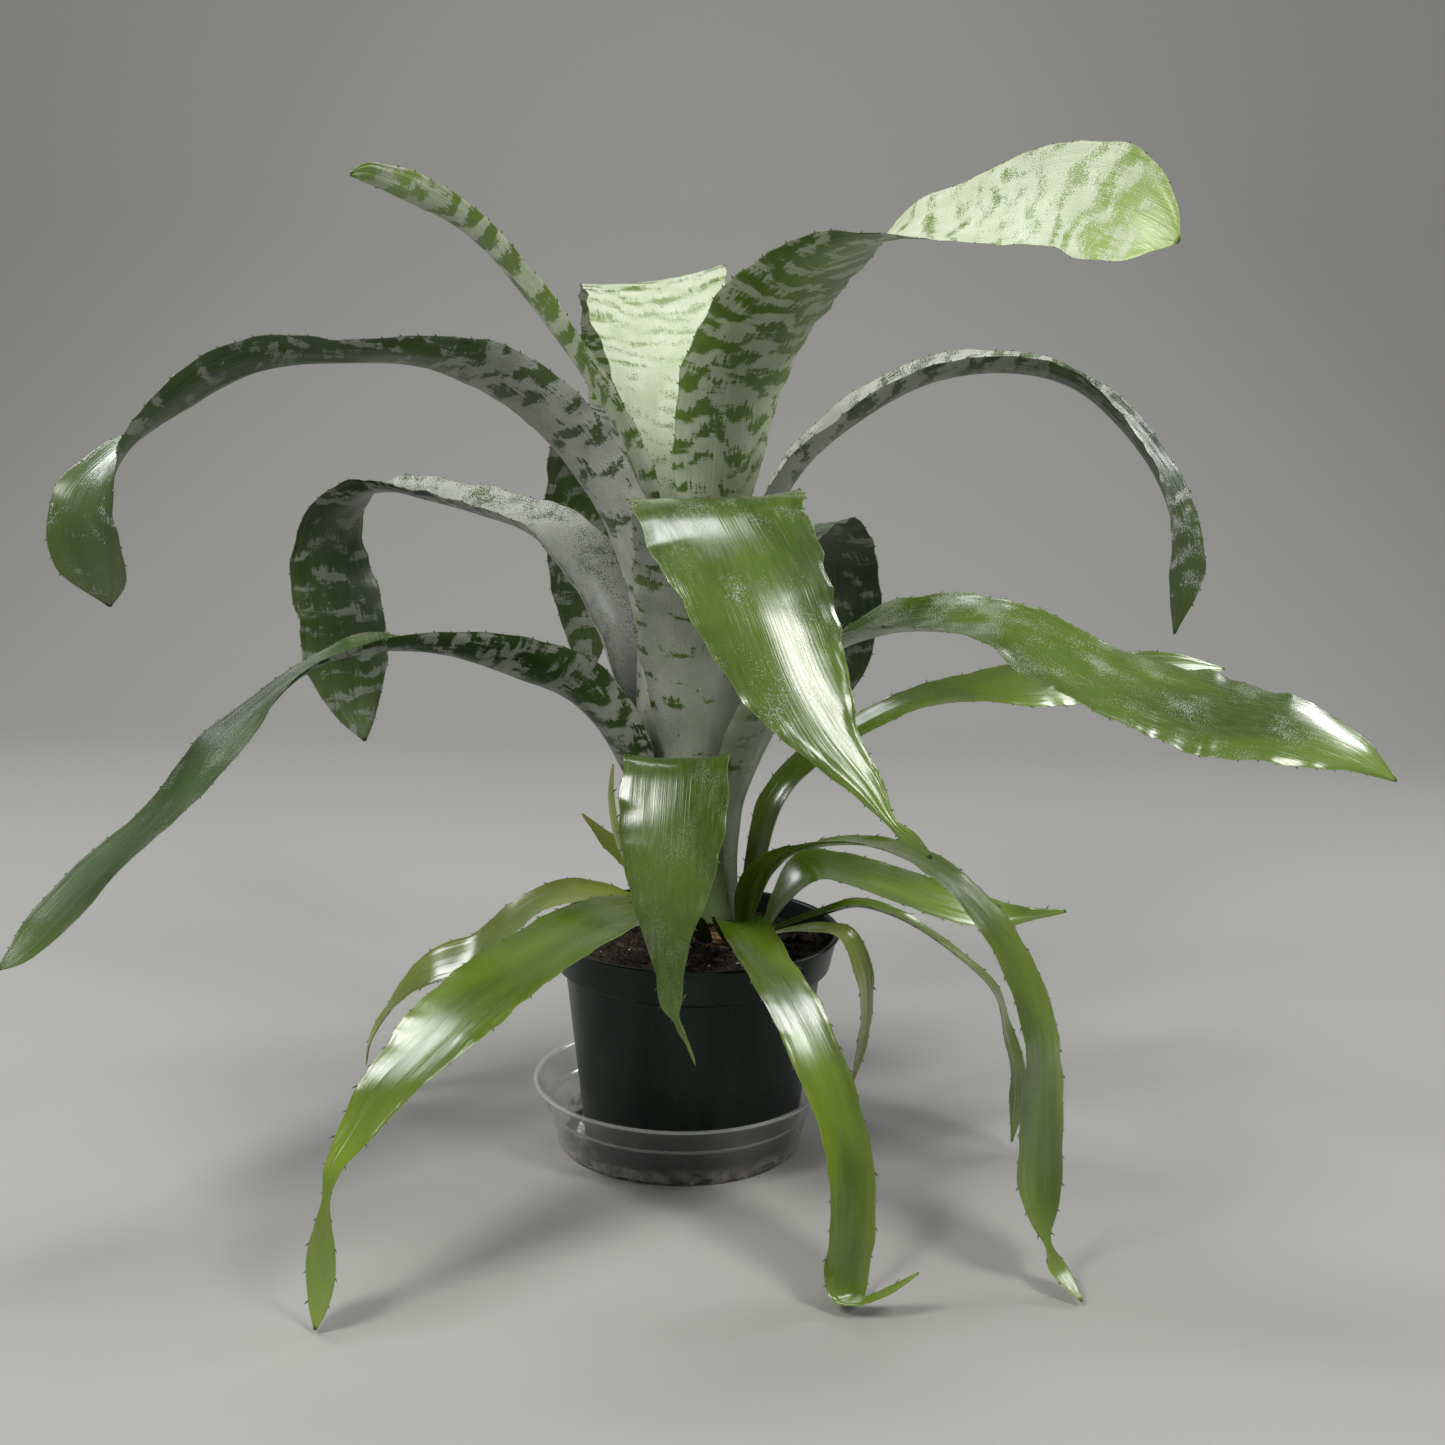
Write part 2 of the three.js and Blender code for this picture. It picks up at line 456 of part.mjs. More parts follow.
// ---------------------------------------------------------------- the model

const bromeliad = new THREE.Group();
bromeliad.add(part('saucer', saucer(), CLEAR_PLASTIC));
bromeliad.add(part('pot', pot(), POT_GREEN));
bromeliad.add(part('potting_mix', soil(), SOIL_BROWN));
bromeliad.add(part('stem', stem(), STEM_BROWN));
bromeliad.add(...ROSETTE.map(rosetteLeaf));
bromeliad.add(...OFFSETS.map(lowLeaf));

export default bromeliad;
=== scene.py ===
# %% [markdown]
# # A silver vase bromeliad in its nursery pot
# The plant is an urn-shaped bromeliad: stiff strap leaves whose bases wrap round each
# other into a funnel that holds water, and whose blades arch out and hang. Silver
# scurf, a fine dust of scales, covers them in cross bands. The pot is thin moulded
# plastic and stands in a clear formed saucer. The measured model is loaded first: it
# fixes every place and size, and each piece below takes over one of its solids.

# %% Load the measured model
import math
import bpy
from mathutils import Matrix, Vector


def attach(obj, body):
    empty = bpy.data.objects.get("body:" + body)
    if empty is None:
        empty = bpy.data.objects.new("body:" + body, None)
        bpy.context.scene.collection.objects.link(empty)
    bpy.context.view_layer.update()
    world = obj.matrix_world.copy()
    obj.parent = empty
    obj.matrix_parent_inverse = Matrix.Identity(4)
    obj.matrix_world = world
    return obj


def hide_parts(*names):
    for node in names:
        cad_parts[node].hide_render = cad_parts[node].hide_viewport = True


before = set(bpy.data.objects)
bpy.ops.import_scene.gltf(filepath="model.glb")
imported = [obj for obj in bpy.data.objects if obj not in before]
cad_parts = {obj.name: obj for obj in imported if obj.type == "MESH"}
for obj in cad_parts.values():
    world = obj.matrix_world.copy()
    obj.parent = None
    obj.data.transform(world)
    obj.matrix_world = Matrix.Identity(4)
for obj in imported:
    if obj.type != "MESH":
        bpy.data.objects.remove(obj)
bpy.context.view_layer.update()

MM = 0.001

# %% [markdown]
# Every tree of nodes below, for shapes and for finishes, is made with the same small
# helpers. One adds a node and feeds its inputs. A wire is what comes out of a node,
# and a sum written with wires, such as a * b + c, adds the nodes that work it out.

# %% Helpers for node trees
class Wire:
    """An output of a node, which can stand in sums like a number."""

    def __init__(self, tree, socket):
        self.tree, self.socket = tree, socket

    def __abs__(self):
        return calc("ABSOLUTE", self)

    def __add__(self, other):
        return calc("ADD", self, other)

    def __sub__(self, other):
        return calc("SUBTRACT", self, other)

    def __rsub__(self, other):
        return calc("SUBTRACT", other, self)

    def __mul__(self, other):
        return calc("MULTIPLY", self, other)

    def __truediv__(self, other):
        return calc("DIVIDE", self, other)

    def __pow__(self, other):
        return calc("POWER", self, other)


def put(tree, kind, feeds=None, **settings):
    """Adds a node. feeds maps an input's name or number to a value or an output."""
    made = tree.nodes.new(kind)
    for key, value in settings.items():
        setattr(made, key, value)
    for key, value in (feeds or {}).items():
        value = value.socket if isinstance(value, Wire) else value
        if isinstance(value, bpy.types.NodeSocket):
            tree.links.new(value, made.inputs[key])
        else:
            made.inputs[key].default_value = value
    return made


def out(tree, kind, feeds=None, pick=0, **settings):
    return Wire(tree, put(tree, kind, feeds, **settings).outputs[pick])


def home(*terms):
    """The tree that the wires among these terms belong to."""
    return next(term.tree for term in terms if isinstance(term, Wire))


def calc(operation, *terms, clamp=False):
    feeds = dict(enumerate(terms))
    return out(home(*terms), "ShaderNodeMath", feeds, operation=operation, use_clamp=clamp)


def steer(operation, *terms):
    """A sum on vectors."""
    feeds = {0: terms[0], 3: terms[1]} if operation == "SCALE" else dict(enumerate(terms))
    pick = "Value" if operation == "LENGTH" else "Vector"
    return out(home(*terms), "ShaderNodeVectorMath", feeds, pick, operation=operation)


def ramp_between(value, low, high):
    feeds = {0: value, 1: low, 2: high}
    return out(value.tree, "ShaderNodeMapRange", feeds, interpolation_type="SMOOTHSTEP")


def joined(*parts):
    return out(home(*parts), "ShaderNodeCombineXYZ", dict(enumerate(parts)))


def split(vector):
    made = put(vector.tree, "ShaderNodeSeparateXYZ", {0: vector})
    return [Wire(vector.tree, socket) for socket in made.outputs]


def show(name, data):
    """Puts a mesh, a lamp or a camera into the scene as an object."""
    made = bpy.data.objects.new(name, data)
    bpy.context.scene.collection.objects.link(made)
    return made

# %% [markdown]
# The plant's own sizes come next. The funnel leans as it leaves the potting mix and
# then stands upright, and each leaf is described by stations along its midrib: how
# far out, how far sideways, how high above the mix, half its width, how far it is
# twisted, and how far its two halves curl up. These are the same numbers that the
# measured solids were made from, so the fine leaves lie exactly where those do.

# %% Sizes of the crown
SOIL_Z = 115.5
POT_RIM_R = 82.5
CROWN_X, CROWN_Y, NECK_SHIFT, NECK_RISE = 22, 8, 20, 100
NECK_R, VASE_R, VASE_FROM, VASE_TO = 14, 43, 20, 120
LAYERS, LAYER_SHARE = 5, 0.11
SHEATH_FOOT, SHEATH_STEP, SHEATH_WRAP = 12, 18, 40

ROSETTE = {
    "leaf_top_right": (-42, 0, 212, [
        [28, 0, 262, 35, -4, 38], [36, -2, 308, 37, -12, 32], [60, -7, 342, 37, -14, 27],
        [93, -15, 364, 35, -8, 27], [122, -18, 377, 34, 4, 32], [147, -15, 384, 33, 20, 31],
        [169, -7, 389, 32, 34, 26], [196, 1, 396, 32, 47, 16], [223, 10, 400, 32, 56, 12],
        [246, 18, 394, 31, 50, 12], [259, 27, 387, 18, 45, 16], [267, 33, 381, 1, 45, 14]]),
    "leaf_top_back": (102, 0, 212, [
        [30, 0, 256, 33, 0, 38], [46, 1, 305, 39, 0, 28], [78, 4, 340, 43, -6, 22],
        [118, 2, 366, 44, -10, 12], [165, 0, 358, 41, 0, 10], [206, 0, 318, 34, 0, 14],
        [228, 0, 262, 18, 0, 18], [236, 0, 222, 1, 0, 18]]),
    "leaf_top_left": (185, 0, 212, [
        [28, 0, 256, 27, 0, 40], [46, 0, 294, 26, 4, 40], [82, 0, 345, 25, 8, 38],
        [116, -4, 385, 20, 18, 34], [144, 0, 404, 14, 36, 30], [162, 0, 412, 10, 46, 24],
        [172, 3, 415, 7, 50, 18], [180, 6, 414, 1, 50, 14]]),
    "leaf_right_arch": (-5, 1, 176, [
        [42, 0, 232, 33, 0, 40], [60, 0, 266, 33, 3, 44], [85, 3, 290, 32, 6, 45],
        [124, 3, 313, 29, 6, 45], [164, 3, 320, 27, 5, 45], [198, 1, 314, 25, 4, 44],
        [224, -1, 296, 24, 12, 40], [247, -5, 269, 22, 21, 30], [260, -10, 240, 20, 32, 22],
        [262, -12, 215, 17, 42, 20], [260, -12, 185, 1, 46, 20]]),
    "leaf_left_arch": (203, 1, 176, [
        [44, 0, 230, 34, 4, 40], [60, -2, 262, 34, 12, 37], [85, 0, 291, 33, 18, 35],
        [118, 2, 312, 31, 22, 36], [154, 5, 320, 26, 12, 43], [187, 3, 320, 23, 8, 45],
        [214, -2, 319, 23, 16, 43], [243, 0, 313, 25, 26, 30], [270, 0, 296, 24, 22, 29],
        [298, 1, 272, 25, -4, 36], [314, 5, 247, 25, -34, 20], [311, 6, 218, 22, -40, 12],
        [305, 0, 201, 1, -40, 10]]),
    "leaf_back_left": (110, 1, 176, [
        [46, 0, 232, 34, 0, 38], [90, 0, 280, 34, 0, 26], [140, 0, 292, 34, 0, 16],
        [186, 0, 254, 33, 0, 14], [207, 0, 195, 28, 0, 16], [206, 0, 140, 14, 0, 18],
        [203, 0, 116, 1, 0, 18]]),
    "leaf_front": (-80, 2, 130, [
        [50, 0, 176, 38, 0, 36], [84, -3, 222, 42, 0, 26], [126, -8, 256, 42, 2, 12],
        [168, -14, 260, 42, 0, -8], [200, -7, 241, 40, -2, -16], [220, 1, 218, 35, -4, -20],
        [236, 9, 192, 28, -5, -18], [249, 20, 170, 17, -4, -8], [262, 36, 149, 8, -4, 0],
        [270, 45, 135, 2.5, 10, 4], [275, 53, 128, 4, 50, 20], [280, 60, 122, 1, 60, 20]]),
    "leaf_left_mid": (150, 2, 130, [
        [58, 0, 184, 34, 0, 40], [96, 0, 222, 34, 0, 37], [134, 0, 232, 34, 0, 36],
        [172, 0, 238, 31, 0, 34], [206, 0, 242, 28, 0, 36], [234, 0, 237, 26, 0, 34],
        [252, 0, 221, 27, 6, 18], [257, 0, 196, 31, 12, 12], [249, 0, 163, 32, 18, 10],
        [243, 3, 135, 29, 22, 13], [235, 6, 108, 17, 22, 14], [226, 10, 89, 1, 22, 16]]),
    "leaf_back_right": (62, 2, 130, [
        [60, 0, 178, 33, 0, 38], [106, 0, 215, 33, 0, 26], [150, 0, 224, 33, 0, 16],
        [182, 0, 198, 32, 0, 14], [196, 0, 158, 28, 0, 16], [208, 0, 125, 14, 0, 18],
        [214, 0, 108, 1, 0, 18]]),
    "leaf_right": (-32, 3, 94, [
        [60, 0, 142, 32, 0, 42], [93, -6, 174, 31, 6, 42], [128, -12, 190, 30, 11, 42],
        [158, -13, 196, 29, 12, 34], [194, -12, 197, 28, 15, 14], [214, -10, 189, 30, 17, 0],
        [248, -3, 178, 32, 18, -14], [292, 9, 167, 34, 24, -18], [328, 19, 161, 29, 22, -18],
        [355, 29, 151, 18, 14, -13], [373, 36, 137, 1, 13, -10]]),
    "leaf_left_low": (207, 3, 94, [
        [50, 0, 124, 30, 8, 40], [68, 0, 145, 28, 24, 43], [94, 2, 159, 24, 36, 46],
        [124, 4, 169, 21, 28, 46], [152, 0, 174, 20, 15, 46], [182, -8, 174, 20, 0, 42],
        [207, -18, 165, 14, 4, 28], [231, -20, 148, 22, 2, 12], [257, -12, 128, 26, -8, 4],
        [286, -10, 99, 28, 0, 0], [320, -2, 75, 28, 0, 10], [350, 13, 56, 23, -5, 13],
        [370, 20, 44, 12, -6, 14], [382, 23, 40, 1, -6, 14]]),
    "leaf_back_low": (84, 3, 94, [
        [60, 0, 134, 31, 0, 38], [104, 0, 160, 31, 0, 26], [146, 0, 162, 30, 0, 16],
        [182, 0, 132, 28, 0, 14], [198, 0, 92, 22, 0, 16], [200, 0, 50, 1, 0, 18]]),
    "leaf_front_short": (-97, 4, 48, [
        [44, 0, 86, 28, 2, 34], [60, 3, 112, 29, 4, 20], [80, 5, 121, 29, 2, 4],
        [96, 6, 104, 29, 0, -9], [107, 5, 84, 28, 0, -12], [116, 1, 63, 22, 3, -14],
        [123, -4, 44, 15, 4, -10], [129, -7, 24, 8, 4, 0], [132, -8, 6, 5.5, 8, 8],
        [133, -5, -1, 2, 30, 10], [134, -1, -9, 5.5, 70, 14], [136, 5, -23, 1, 80, 14]]),
}
print("silver leaves:", len(ROSETTE))

# %% [markdown]
# The low leaves are plain green. They come straight out of the mix round the crown,
# and the long ones pass over the pot's rim and reach down to the bench. Stations
# past the rim are given from the rim's edge and from the bench, so they are turned
# into the same six numbers here.

# %% Sizes of the low leaves
LOW_LEAVES = {
    "low_leaf_right_stalk": (28, [
        [17, 0, 2, 6, 0, 50], [24, 0, 20, 10, 0, 48], [36, 0, 46, 13, 0, 46],
        [55, 0, 75, 15, 0, 43], [82, 2, 96, 14, 6, 40], [120, 6, 113, 12, 14, 34],
        [152, 6, 124, 12, 20, 28], [186, 4, 129, 16, 20, 14], [222, 0, 130, 20, 30, 8],
        [285, 0, 131, 18, 45, 8], [345, 0, 134, 13, 45, 10], [389, 0, 131, 1, 45, 10]], []),
    "low_leaf_front_left": (232, [
        [17, 0, 2, 7, 0, 44], [32, 1, 18, 14, 0, 32], [60, 3, 32, 22, 0, 20]], [
        [10, 5, 151, 27, 0, 10], [48, 6, 148, 29, 2, 6], [82, 3, 141, 30, 3, 2],
        [118, 0, 130, 30, 3, -3], [148, 0, 116, 25, 3, -5], [172, 0, 103, 17, 0, -3],
        [190, 0, 86, 11, -3, 4], [203, 0, 73, 6, 0, 8], [207, 0, 60, 3, 0, 10],
        [210, 0, 35, 10, -4, 12], [214, 2, 14, 8, 0, 12], [219, 4, 2, 1, 0, 10]]),
    "low_leaf_left_back": (172, [
        [17, 0, 2, 4, 0, 40], [40, 0, 14, 8, 0, 30], [69, 0, 22, 15, -6, 18]], [
        [14, 0, 134, 18, -14, 14], [38, 0, 119, 17, -24, 12], [62, 0, 98, 16, -30, 9],
        [86, 0, 88, 14, -34, 9], [104, 0, 73, 9, -30, 12], [115, 0, 58, 6, -24, 12],
        [125, 2, 40, 4, -24, 12], [127, 4, 26, 1, -24, 12]]),
    "low_leaf_left_small": (142, [
        [20, 0, 4, 3, 0, 40], [42, 0, 22, 8, 0, 34], [62, 0, 34, 11, 0, 26],
        [78, 0, 46, 7, 0, 20], [90, 0, 58, 1, 0, 20]], []),
    "low_leaf_front_right": (-70, [
        [17, 0, 2, 4, 0, 44], [32, -3, 16, 11, 0, 36], [56, -6, 26, 16, -6, 26]], [
        [4, -9, 136, 18, -12, 14], [30, -8, 128, 20, -18, 4], [62, -4, 108, 21, -24, -4],
        [84, 0, 86, 20, -28, -6], [102, 1, 62, 19, -30, 2], [116, -3, 34, 19, -30, 8],
        [128, -11, 12, 16, -30, 6], [135, -14, 6, 8, -12, 4], [141, -9, 7, 6, 16, 6],
        [147, 3, 13, 6, 42, 10], [152, 16, 23, 1, 50, 14]]),
    "low_leaf_right_arch": (-46, [
        [17, 0, 2, 4, 0, 46], [25, 0, 20, 9, 0, 42], [42, 0, 43, 15, 0, 36],
        [68, 0, 62, 17, 0, 30], [108, 2, 77, 17, -3, 24]], [
        [62, 5, 197, 18, -8, 16], [96, 9, 187, 18, -13, 7], [122, 11, 159, 18, -13, -2],
        [136, 8, 118, 19, -10, 2], [142, 3, 78, 20, -3, 7], [147, -3, 46, 18, 0, 8],
        [154, -8, 30, 10, -4, 10], [159, -9, 22, 3, -6, 10], [166, -10, 12, 7, -4, 12],
        [184, -14, 3, 1, -3, 12]]),
    "low_leaf_back_right": (17, [
        [28, 0, 4, 6, 0, 40], [40, 0, 21, 12, 4, 30], [60, 0, 37, 20, 10, 18]], [
        [0, -1, 149, 22, 16, 12], [28, -2, 139, 23, 20, 8], [54, -4, 129, 20, 24, 8],
        [80, -6, 121, 13, 36, 10], [102, -4, 118, 6, 50, 14], [134, 0, 117, 1, 60, 12]]),
    "low_leaf_right_thin": (-5, [
        [21, 0, 3, 3, 0, 44], [45, 0, 12, 7, 0, 40], [66, 0, 20, 8, 0, 36]], [
        [-2, 0, 139, 9, 0, 34], [22, 0, 132, 9, 0, 28], [52, 0, 112, 9, 0, 20],
        [73, 0, 93, 10, 6, 12], [80, -2, 72, 10, 16, 10], [87, -6, 50, 9, 30, 10],
        [88, -7, 28, 8, 40, 10], [86, -8, 6, 1, 40, 10]]),
    "low_leaf_right_small": (-26, [
        [22, 0, 2, 3, 0, 40], [40, 0, 10, 7, 0, 28], [60, 0, 15, 11, 0, 18]], [
        [-6, 1, 130, 12, -2, 12], [4, 0, 112, 12, 0, 8], [8, -3, 86, 10, 0, 8],
        [7, -8, 66, 6, 4, 10], [5, -11, 50, 1, 10, 12]]),
    "low_leaf_left_bud": (200, [
        [18, 0, 2, 3, 0, 40], [36, 0, 22, 5, 0, 36], [48, 0, 56, 8, 0, 32],
        [47, 0, 84, 6, 0, 26], [44, 0, 104, 1, 0, 24]], []),
}
print("low leaves:", len(LOW_LEAVES))

# %% [markdown]
# A midrib is a smooth curve through its stations. The curve passes through every one
# and leans towards the shorter spans, which keeps it from looping where stations are
# close together. Widths, twists and cups are carried along the same curve, so the
# blade swells and turns as smoothly as it bends.

# %% Midribs through the stations
def ease(low, high, x):
    t = min(max((x - low) / (high - low), 0), 1)
    return t * t * (3 - 2 * t)


def station(azimuth, row):
    """Place in mm, half width, twist and cup, as one list of six numbers."""
    reach, sway, height, half, twist, cup = row
    a = math.radians(azimuth)
    x = CROWN_X - NECK_SHIFT * ease(0, NECK_RISE, height) + reach * math.cos(a) - sway * math.sin(a)
    y = CROWN_Y + reach * math.sin(a) + sway * math.cos(a)
    return [x, y, SOIL_Z + height, half, math.radians(twist), math.radians(cup)]


def funnel_stations(azimuth, layer, sheath, blade_half):
    """The sheath: arcs round the crown's axis, one layer inside another."""
    made, height = [], SHEATH_FOOT
    while height <= sheath:
        radius = NECK_R + (VASE_R - NECK_R) * ease(VASE_FROM, VASE_TO, height)
        radius *= 1 - LAYER_SHARE * (LAYERS - 1 - layer)
        wrap = min(SHEATH_WRAP, math.degrees(blade_half / radius))
        made.append(station(azimuth, [radius, 0, height, radius * math.radians(wrap), 0, wrap]))
        height += SHEATH_STEP
    return made


def past_the_rim(row):
    out, sway, height, *shape = row
    return [POT_RIM_R + out, sway, height - SOIL_Z, *shape]


def curve_through(knots, share):
    """A point on the curve: share counts knots, so 2.5 is half way from knot 2 to 3."""
    last = len(knots) - 1
    i = min(int(share), last - 1)
    t = share - i
    before = knots[i - 1] if i else [2 * a - b for a, b in zip(knots[0], knots[1])]
    after = knots[i + 2] if i + 2 <= last else [2 * a - b for a, b in zip(knots[last], knots[last - 1])]
    run = [before, knots[i], knots[i + 1], after]
    gaps = [max(math.dist(p[:3], q[:3]), 1e-6) ** 0.5 for p, q in zip(run, run[1:])]
    point = []
    for p0, p1, p2, p3 in zip(*run):
        lean1 = ((p1 - p0) / gaps[0] - (p2 - p0) / (gaps[0] + gaps[1]) + (p2 - p1) / gaps[1]) * gaps[1]
        lean2 = ((p2 - p1) / gaps[1] - (p3 - p1) / (gaps[1] + gaps[2]) + (p3 - p2) / gaps[2]) * gaps[1]
        c2 = 3 * (p2 - p1) - 2 * lean1 - lean2
        c3 = 2 * (p1 - p2) + lean1 + lean2
        point.append(p1 + lean1 * t + c2 * t * t + c3 * t ** 3)
    return point

# %% [markdown]
# The blade itself is one rule for all the leaves, so Geometry Nodes make it. What
# goes in is a chain of points along the midrib, each holding its own cross
# direction, its upward direction and its size. Python lays that chain out at even
# spacing, because the tree then only has to look up row after row.

# %% Lay the midrib out as an even chain
ROW_STEP = 2.6
FINE_STEPS = 12
LEAST_HALF, LEAST_CUP = 0.35, 0.01
WIDTH_NOTCH, NOTCH_START = 0.09, 60
LONG_NOTCH, SHORT_NOTCH = 47, 21
BLADE_LOOSE_AFTER = 90


def zigzag(turns):
    """Between -1 and 1 in straight runs, which gives a margin its corners."""
    return 4 * abs(turns % 1 - 0.5) - 1


def midrib_chain(name, azimuth, knots, sheath_knots):
    steps = FINE_STEPS * (len(knots) - 1) + 1
    fine = [curve_through(knots, k / FINE_STEPS) for k in range(steps)]
    lengths = [0.0]
    for p, q in zip(fine, fine[1:]):
        lengths.append(lengths[-1] + math.dist(p[:3], q[:3]))
    total = lengths[-1]
    sheath_end = lengths[FINE_STEPS * max(sheath_knots - 1, 0)]
    rows = int(total / ROW_STEP) + 1
    chain, k = [], 0
    for row in range(rows + 1):
        want = total * row / rows
        while k < len(lengths) - 2 and lengths[k + 1] < want:
            k += 1
        t = (want - lengths[k]) / (lengths[k + 1] - lengths[k])
        chain.append([a + (b - a) * t for a, b in zip(fine[k], fine[k + 1])] + [want])
    a = math.radians(azimuth)
    side = Vector((-math.sin(a), math.cos(a), 0))
    mesh = bpy.data.meshes.new(name)
    mesh.from_pydata([[c * MM for c in p[:3]] for p in chain], [(i, i + 1) for i in range(rows)], [])
    for p in chain:
        notches = 0.6 * zigzag(p[6] / LONG_NOTCH + azimuth) + 0.4 * zigzag(p[6] / SHORT_NOTCH + 2 * azimuth)
        grown = ease(sheath_end, sheath_end + NOTCH_START, p[6])
        p[3] *= 1 - WIDTH_NOTCH * grown * (0.5 + 0.5 * notches)
    columns = {key: [] for key in ("across", "upward", "shape", "place")}
    for i, p in enumerate(chain):
        ahead = Vector(chain[min(i + 1, rows)][:3]) - Vector(chain[max(i - 1, 0)][:3])
        along = ahead.normalized()
        across = (side - along * side.dot(along)).normalized()
        across.rotate(Matrix.Rotation(p[4], 3, along))
        cup = p[5] if abs(p[5]) > LEAST_CUP else LEAST_CUP
        columns["across"] += list(across)
        columns["upward"] += list(along.cross(across))
        columns["shape"] += [max(p[3], LEAST_HALF) * MM, cup, p[6] * MM]
        columns["place"] += [p[6] / total, ease(sheath_end * 0.8, sheath_end + BLADE_LOOSE_AFTER, p[6]), 0]
    for key, numbers in columns.items():
        mesh.attributes.new(key, "FLOAT_VECTOR", "POINT").data.foreach_set("vector", numbers)
    return show(name, mesh), rows + 1, total

# %% [markdown]
# In the tree a flat grid is bent into place row by row: the column says how far
# across the blade a point is, and the row picks its midrib point. Each section
# follows an arc as wide as the blade, curled by its cup. Two such sheets, a leaf's
# thickness apart in the middle and meeting at the margins, make one closed skin.

# %% The bend of one section
def bent_place(rib, u, lift):
    """Where a point lies: u across from -1 to 1, lift off the middle of the blade."""
    half, cup = rib["half"], rib["cup"]
    turn = u * cup
    bend = half / cup
    arm = bend - lift
    out = arm * calc("SINE", turn)
    rise = bend - arm * calc("COSINE", turn)
    place = steer("ADD", rib["middle"], steer("SCALE", rib["across"], out))
    return steer("ADD", place, steer("SCALE", rib["upward"], rise))


def margin_wave(rib, u, sizes):
    """How far a leaf's margin waves up and down, and its faint lengthwise pleats."""
    edge = abs(u) ** 3.0
    spot = joined(rib["run"] / sizes["Wave Length"], calc("SIGN", u) * 3.7 + sizes["Seed"], 0.0)
    wave = out(u.tree, "ShaderNodeTexNoise", {"Vector": spot, "Scale": 1.0, "Detail": 1.5}) - 0.5
    kinked = calc("PINGPONG", wave * 2.4, 0.25) - 0.12
    wave = (wave + kinked) * sizes["Wave"] * ramp_between(rib["share"], 0.99, 0.88) * edge
    spot = joined(u * 7.0, rib["run"] * 5.0, sizes["Seed"])
    pleat = out(u.tree, "ShaderNodeTexNoise", {"Vector": spot, "Scale": 1.0, "Detail": 1.0})
    return (wave + (pleat - 0.5) * sizes["Pleats"]) * rib["loose"]

# %% [markdown]
# Small dark spines stand along both margins, about a centimetre apart on the blades
# and further apart on the low leaves. They repeat along a path, so the tree walks
# each margin at even steps and sets a small straight cone there, leaning out and ahead.

# %% The leaf tree
LEAF_INPUTS = {
    "Rows": 120, "Columns": 27, "Thickness": 1.1 * MM, "Wave": 6 * MM, "Wave Length": 38 * MM,
    "Pleats": 1.6 * MM, "Spine Spacing": 9 * MM, "Spine Length": 1.5 * MM, "Seed": 0.0,
    "Skin": "Material", "Spine Finish": "Material",
}
LEAST_HEIGHT = 0.8 * MM
MERGE_WITHIN = 0.002 * MM
SPINE_FOOT, SPINE_POINT = 0.42 * MM, 0.04 * MM
SPINE_SEED = 11


def new_tree(name, inputs):
    """A tree whose inputs take their kind from their first value, or are named by it."""
    tree = bpy.data.node_groups.new(name, "GeometryNodeTree")
    for label, value in {"Geometry": "Geometry", **inputs}.items():
        kind = value if isinstance(value, str) else type(value).__name__.capitalize()
        made = tree.interface.new_socket(label, in_out="INPUT", socket_type="NodeSocket" + kind)
        if not isinstance(value, str):
            made.default_value = value
    tree.interface.new_socket("Geometry", in_out="OUTPUT", socket_type="NodeSocketGeometry")
    given = tree.nodes.new("NodeGroupInput").outputs
    return tree, {socket.name: Wire(tree, socket) for socket in given if socket.name}


def close_tree(tree, geometry):
    solid = out(tree, "GeometryNodeRealizeInstances", {0: geometry})
    put(tree, "NodeGroupOutput", {0: solid})


def gathered(tree, *pieces):
    """Several pieces of geometry as one."""
    made = put(tree, "GeometryNodeJoinGeometry")
    for piece in pieces:
        tree.links.new(piece.socket, made.inputs[0])
    return Wire(tree, made.outputs[0])


def painted(geometry, finish):
    return out(geometry.tree, "GeometryNodeSetMaterial", {"Geometry": geometry, "Material": finish})


def noted(geometry, name, value):
    """Keeps a vector at every point under a name."""
    return out(geometry.tree, "GeometryNodeStoreNamedAttribute", {
        "Geometry": geometry, "Name": name, "Value": value}, data_type="FLOAT_VECTOR", domain="POINT")


def moved(geometry, place):
    return out(geometry.tree, "GeometryNodeSetPosition", {"Geometry": geometry, "Position": place})


def named(tree, name):
    """The vector kept under this name; the middle is the place of the point itself."""
    if name == "middle":
        return out(tree, "GeometryNodeInputPosition")
    return out(tree, "GeometryNodeInputNamedAttribute", {"Name": name}, data_type="FLOAT_VECTOR")


def random_size(tree, small, large, seed):
    feeds = {2: small, 3: large, "Seed": seed}
    return out(tree, "FunctionNodeRandomValue", feeds, 1, data_type="FLOAT")


def rib_facts(fetch):
    """What a place on the blade needs to know of its midrib, fetched by name."""
    half, cup, run = split(fetch("shape"))
    share, loose, _ = split(fetch("place"))
    return {"middle": fetch("middle"), "across": fetch("across"), "upward": fetch("upward"),
            "half": half, "cup": cup, "run": run, "share": share, "loose": loose}


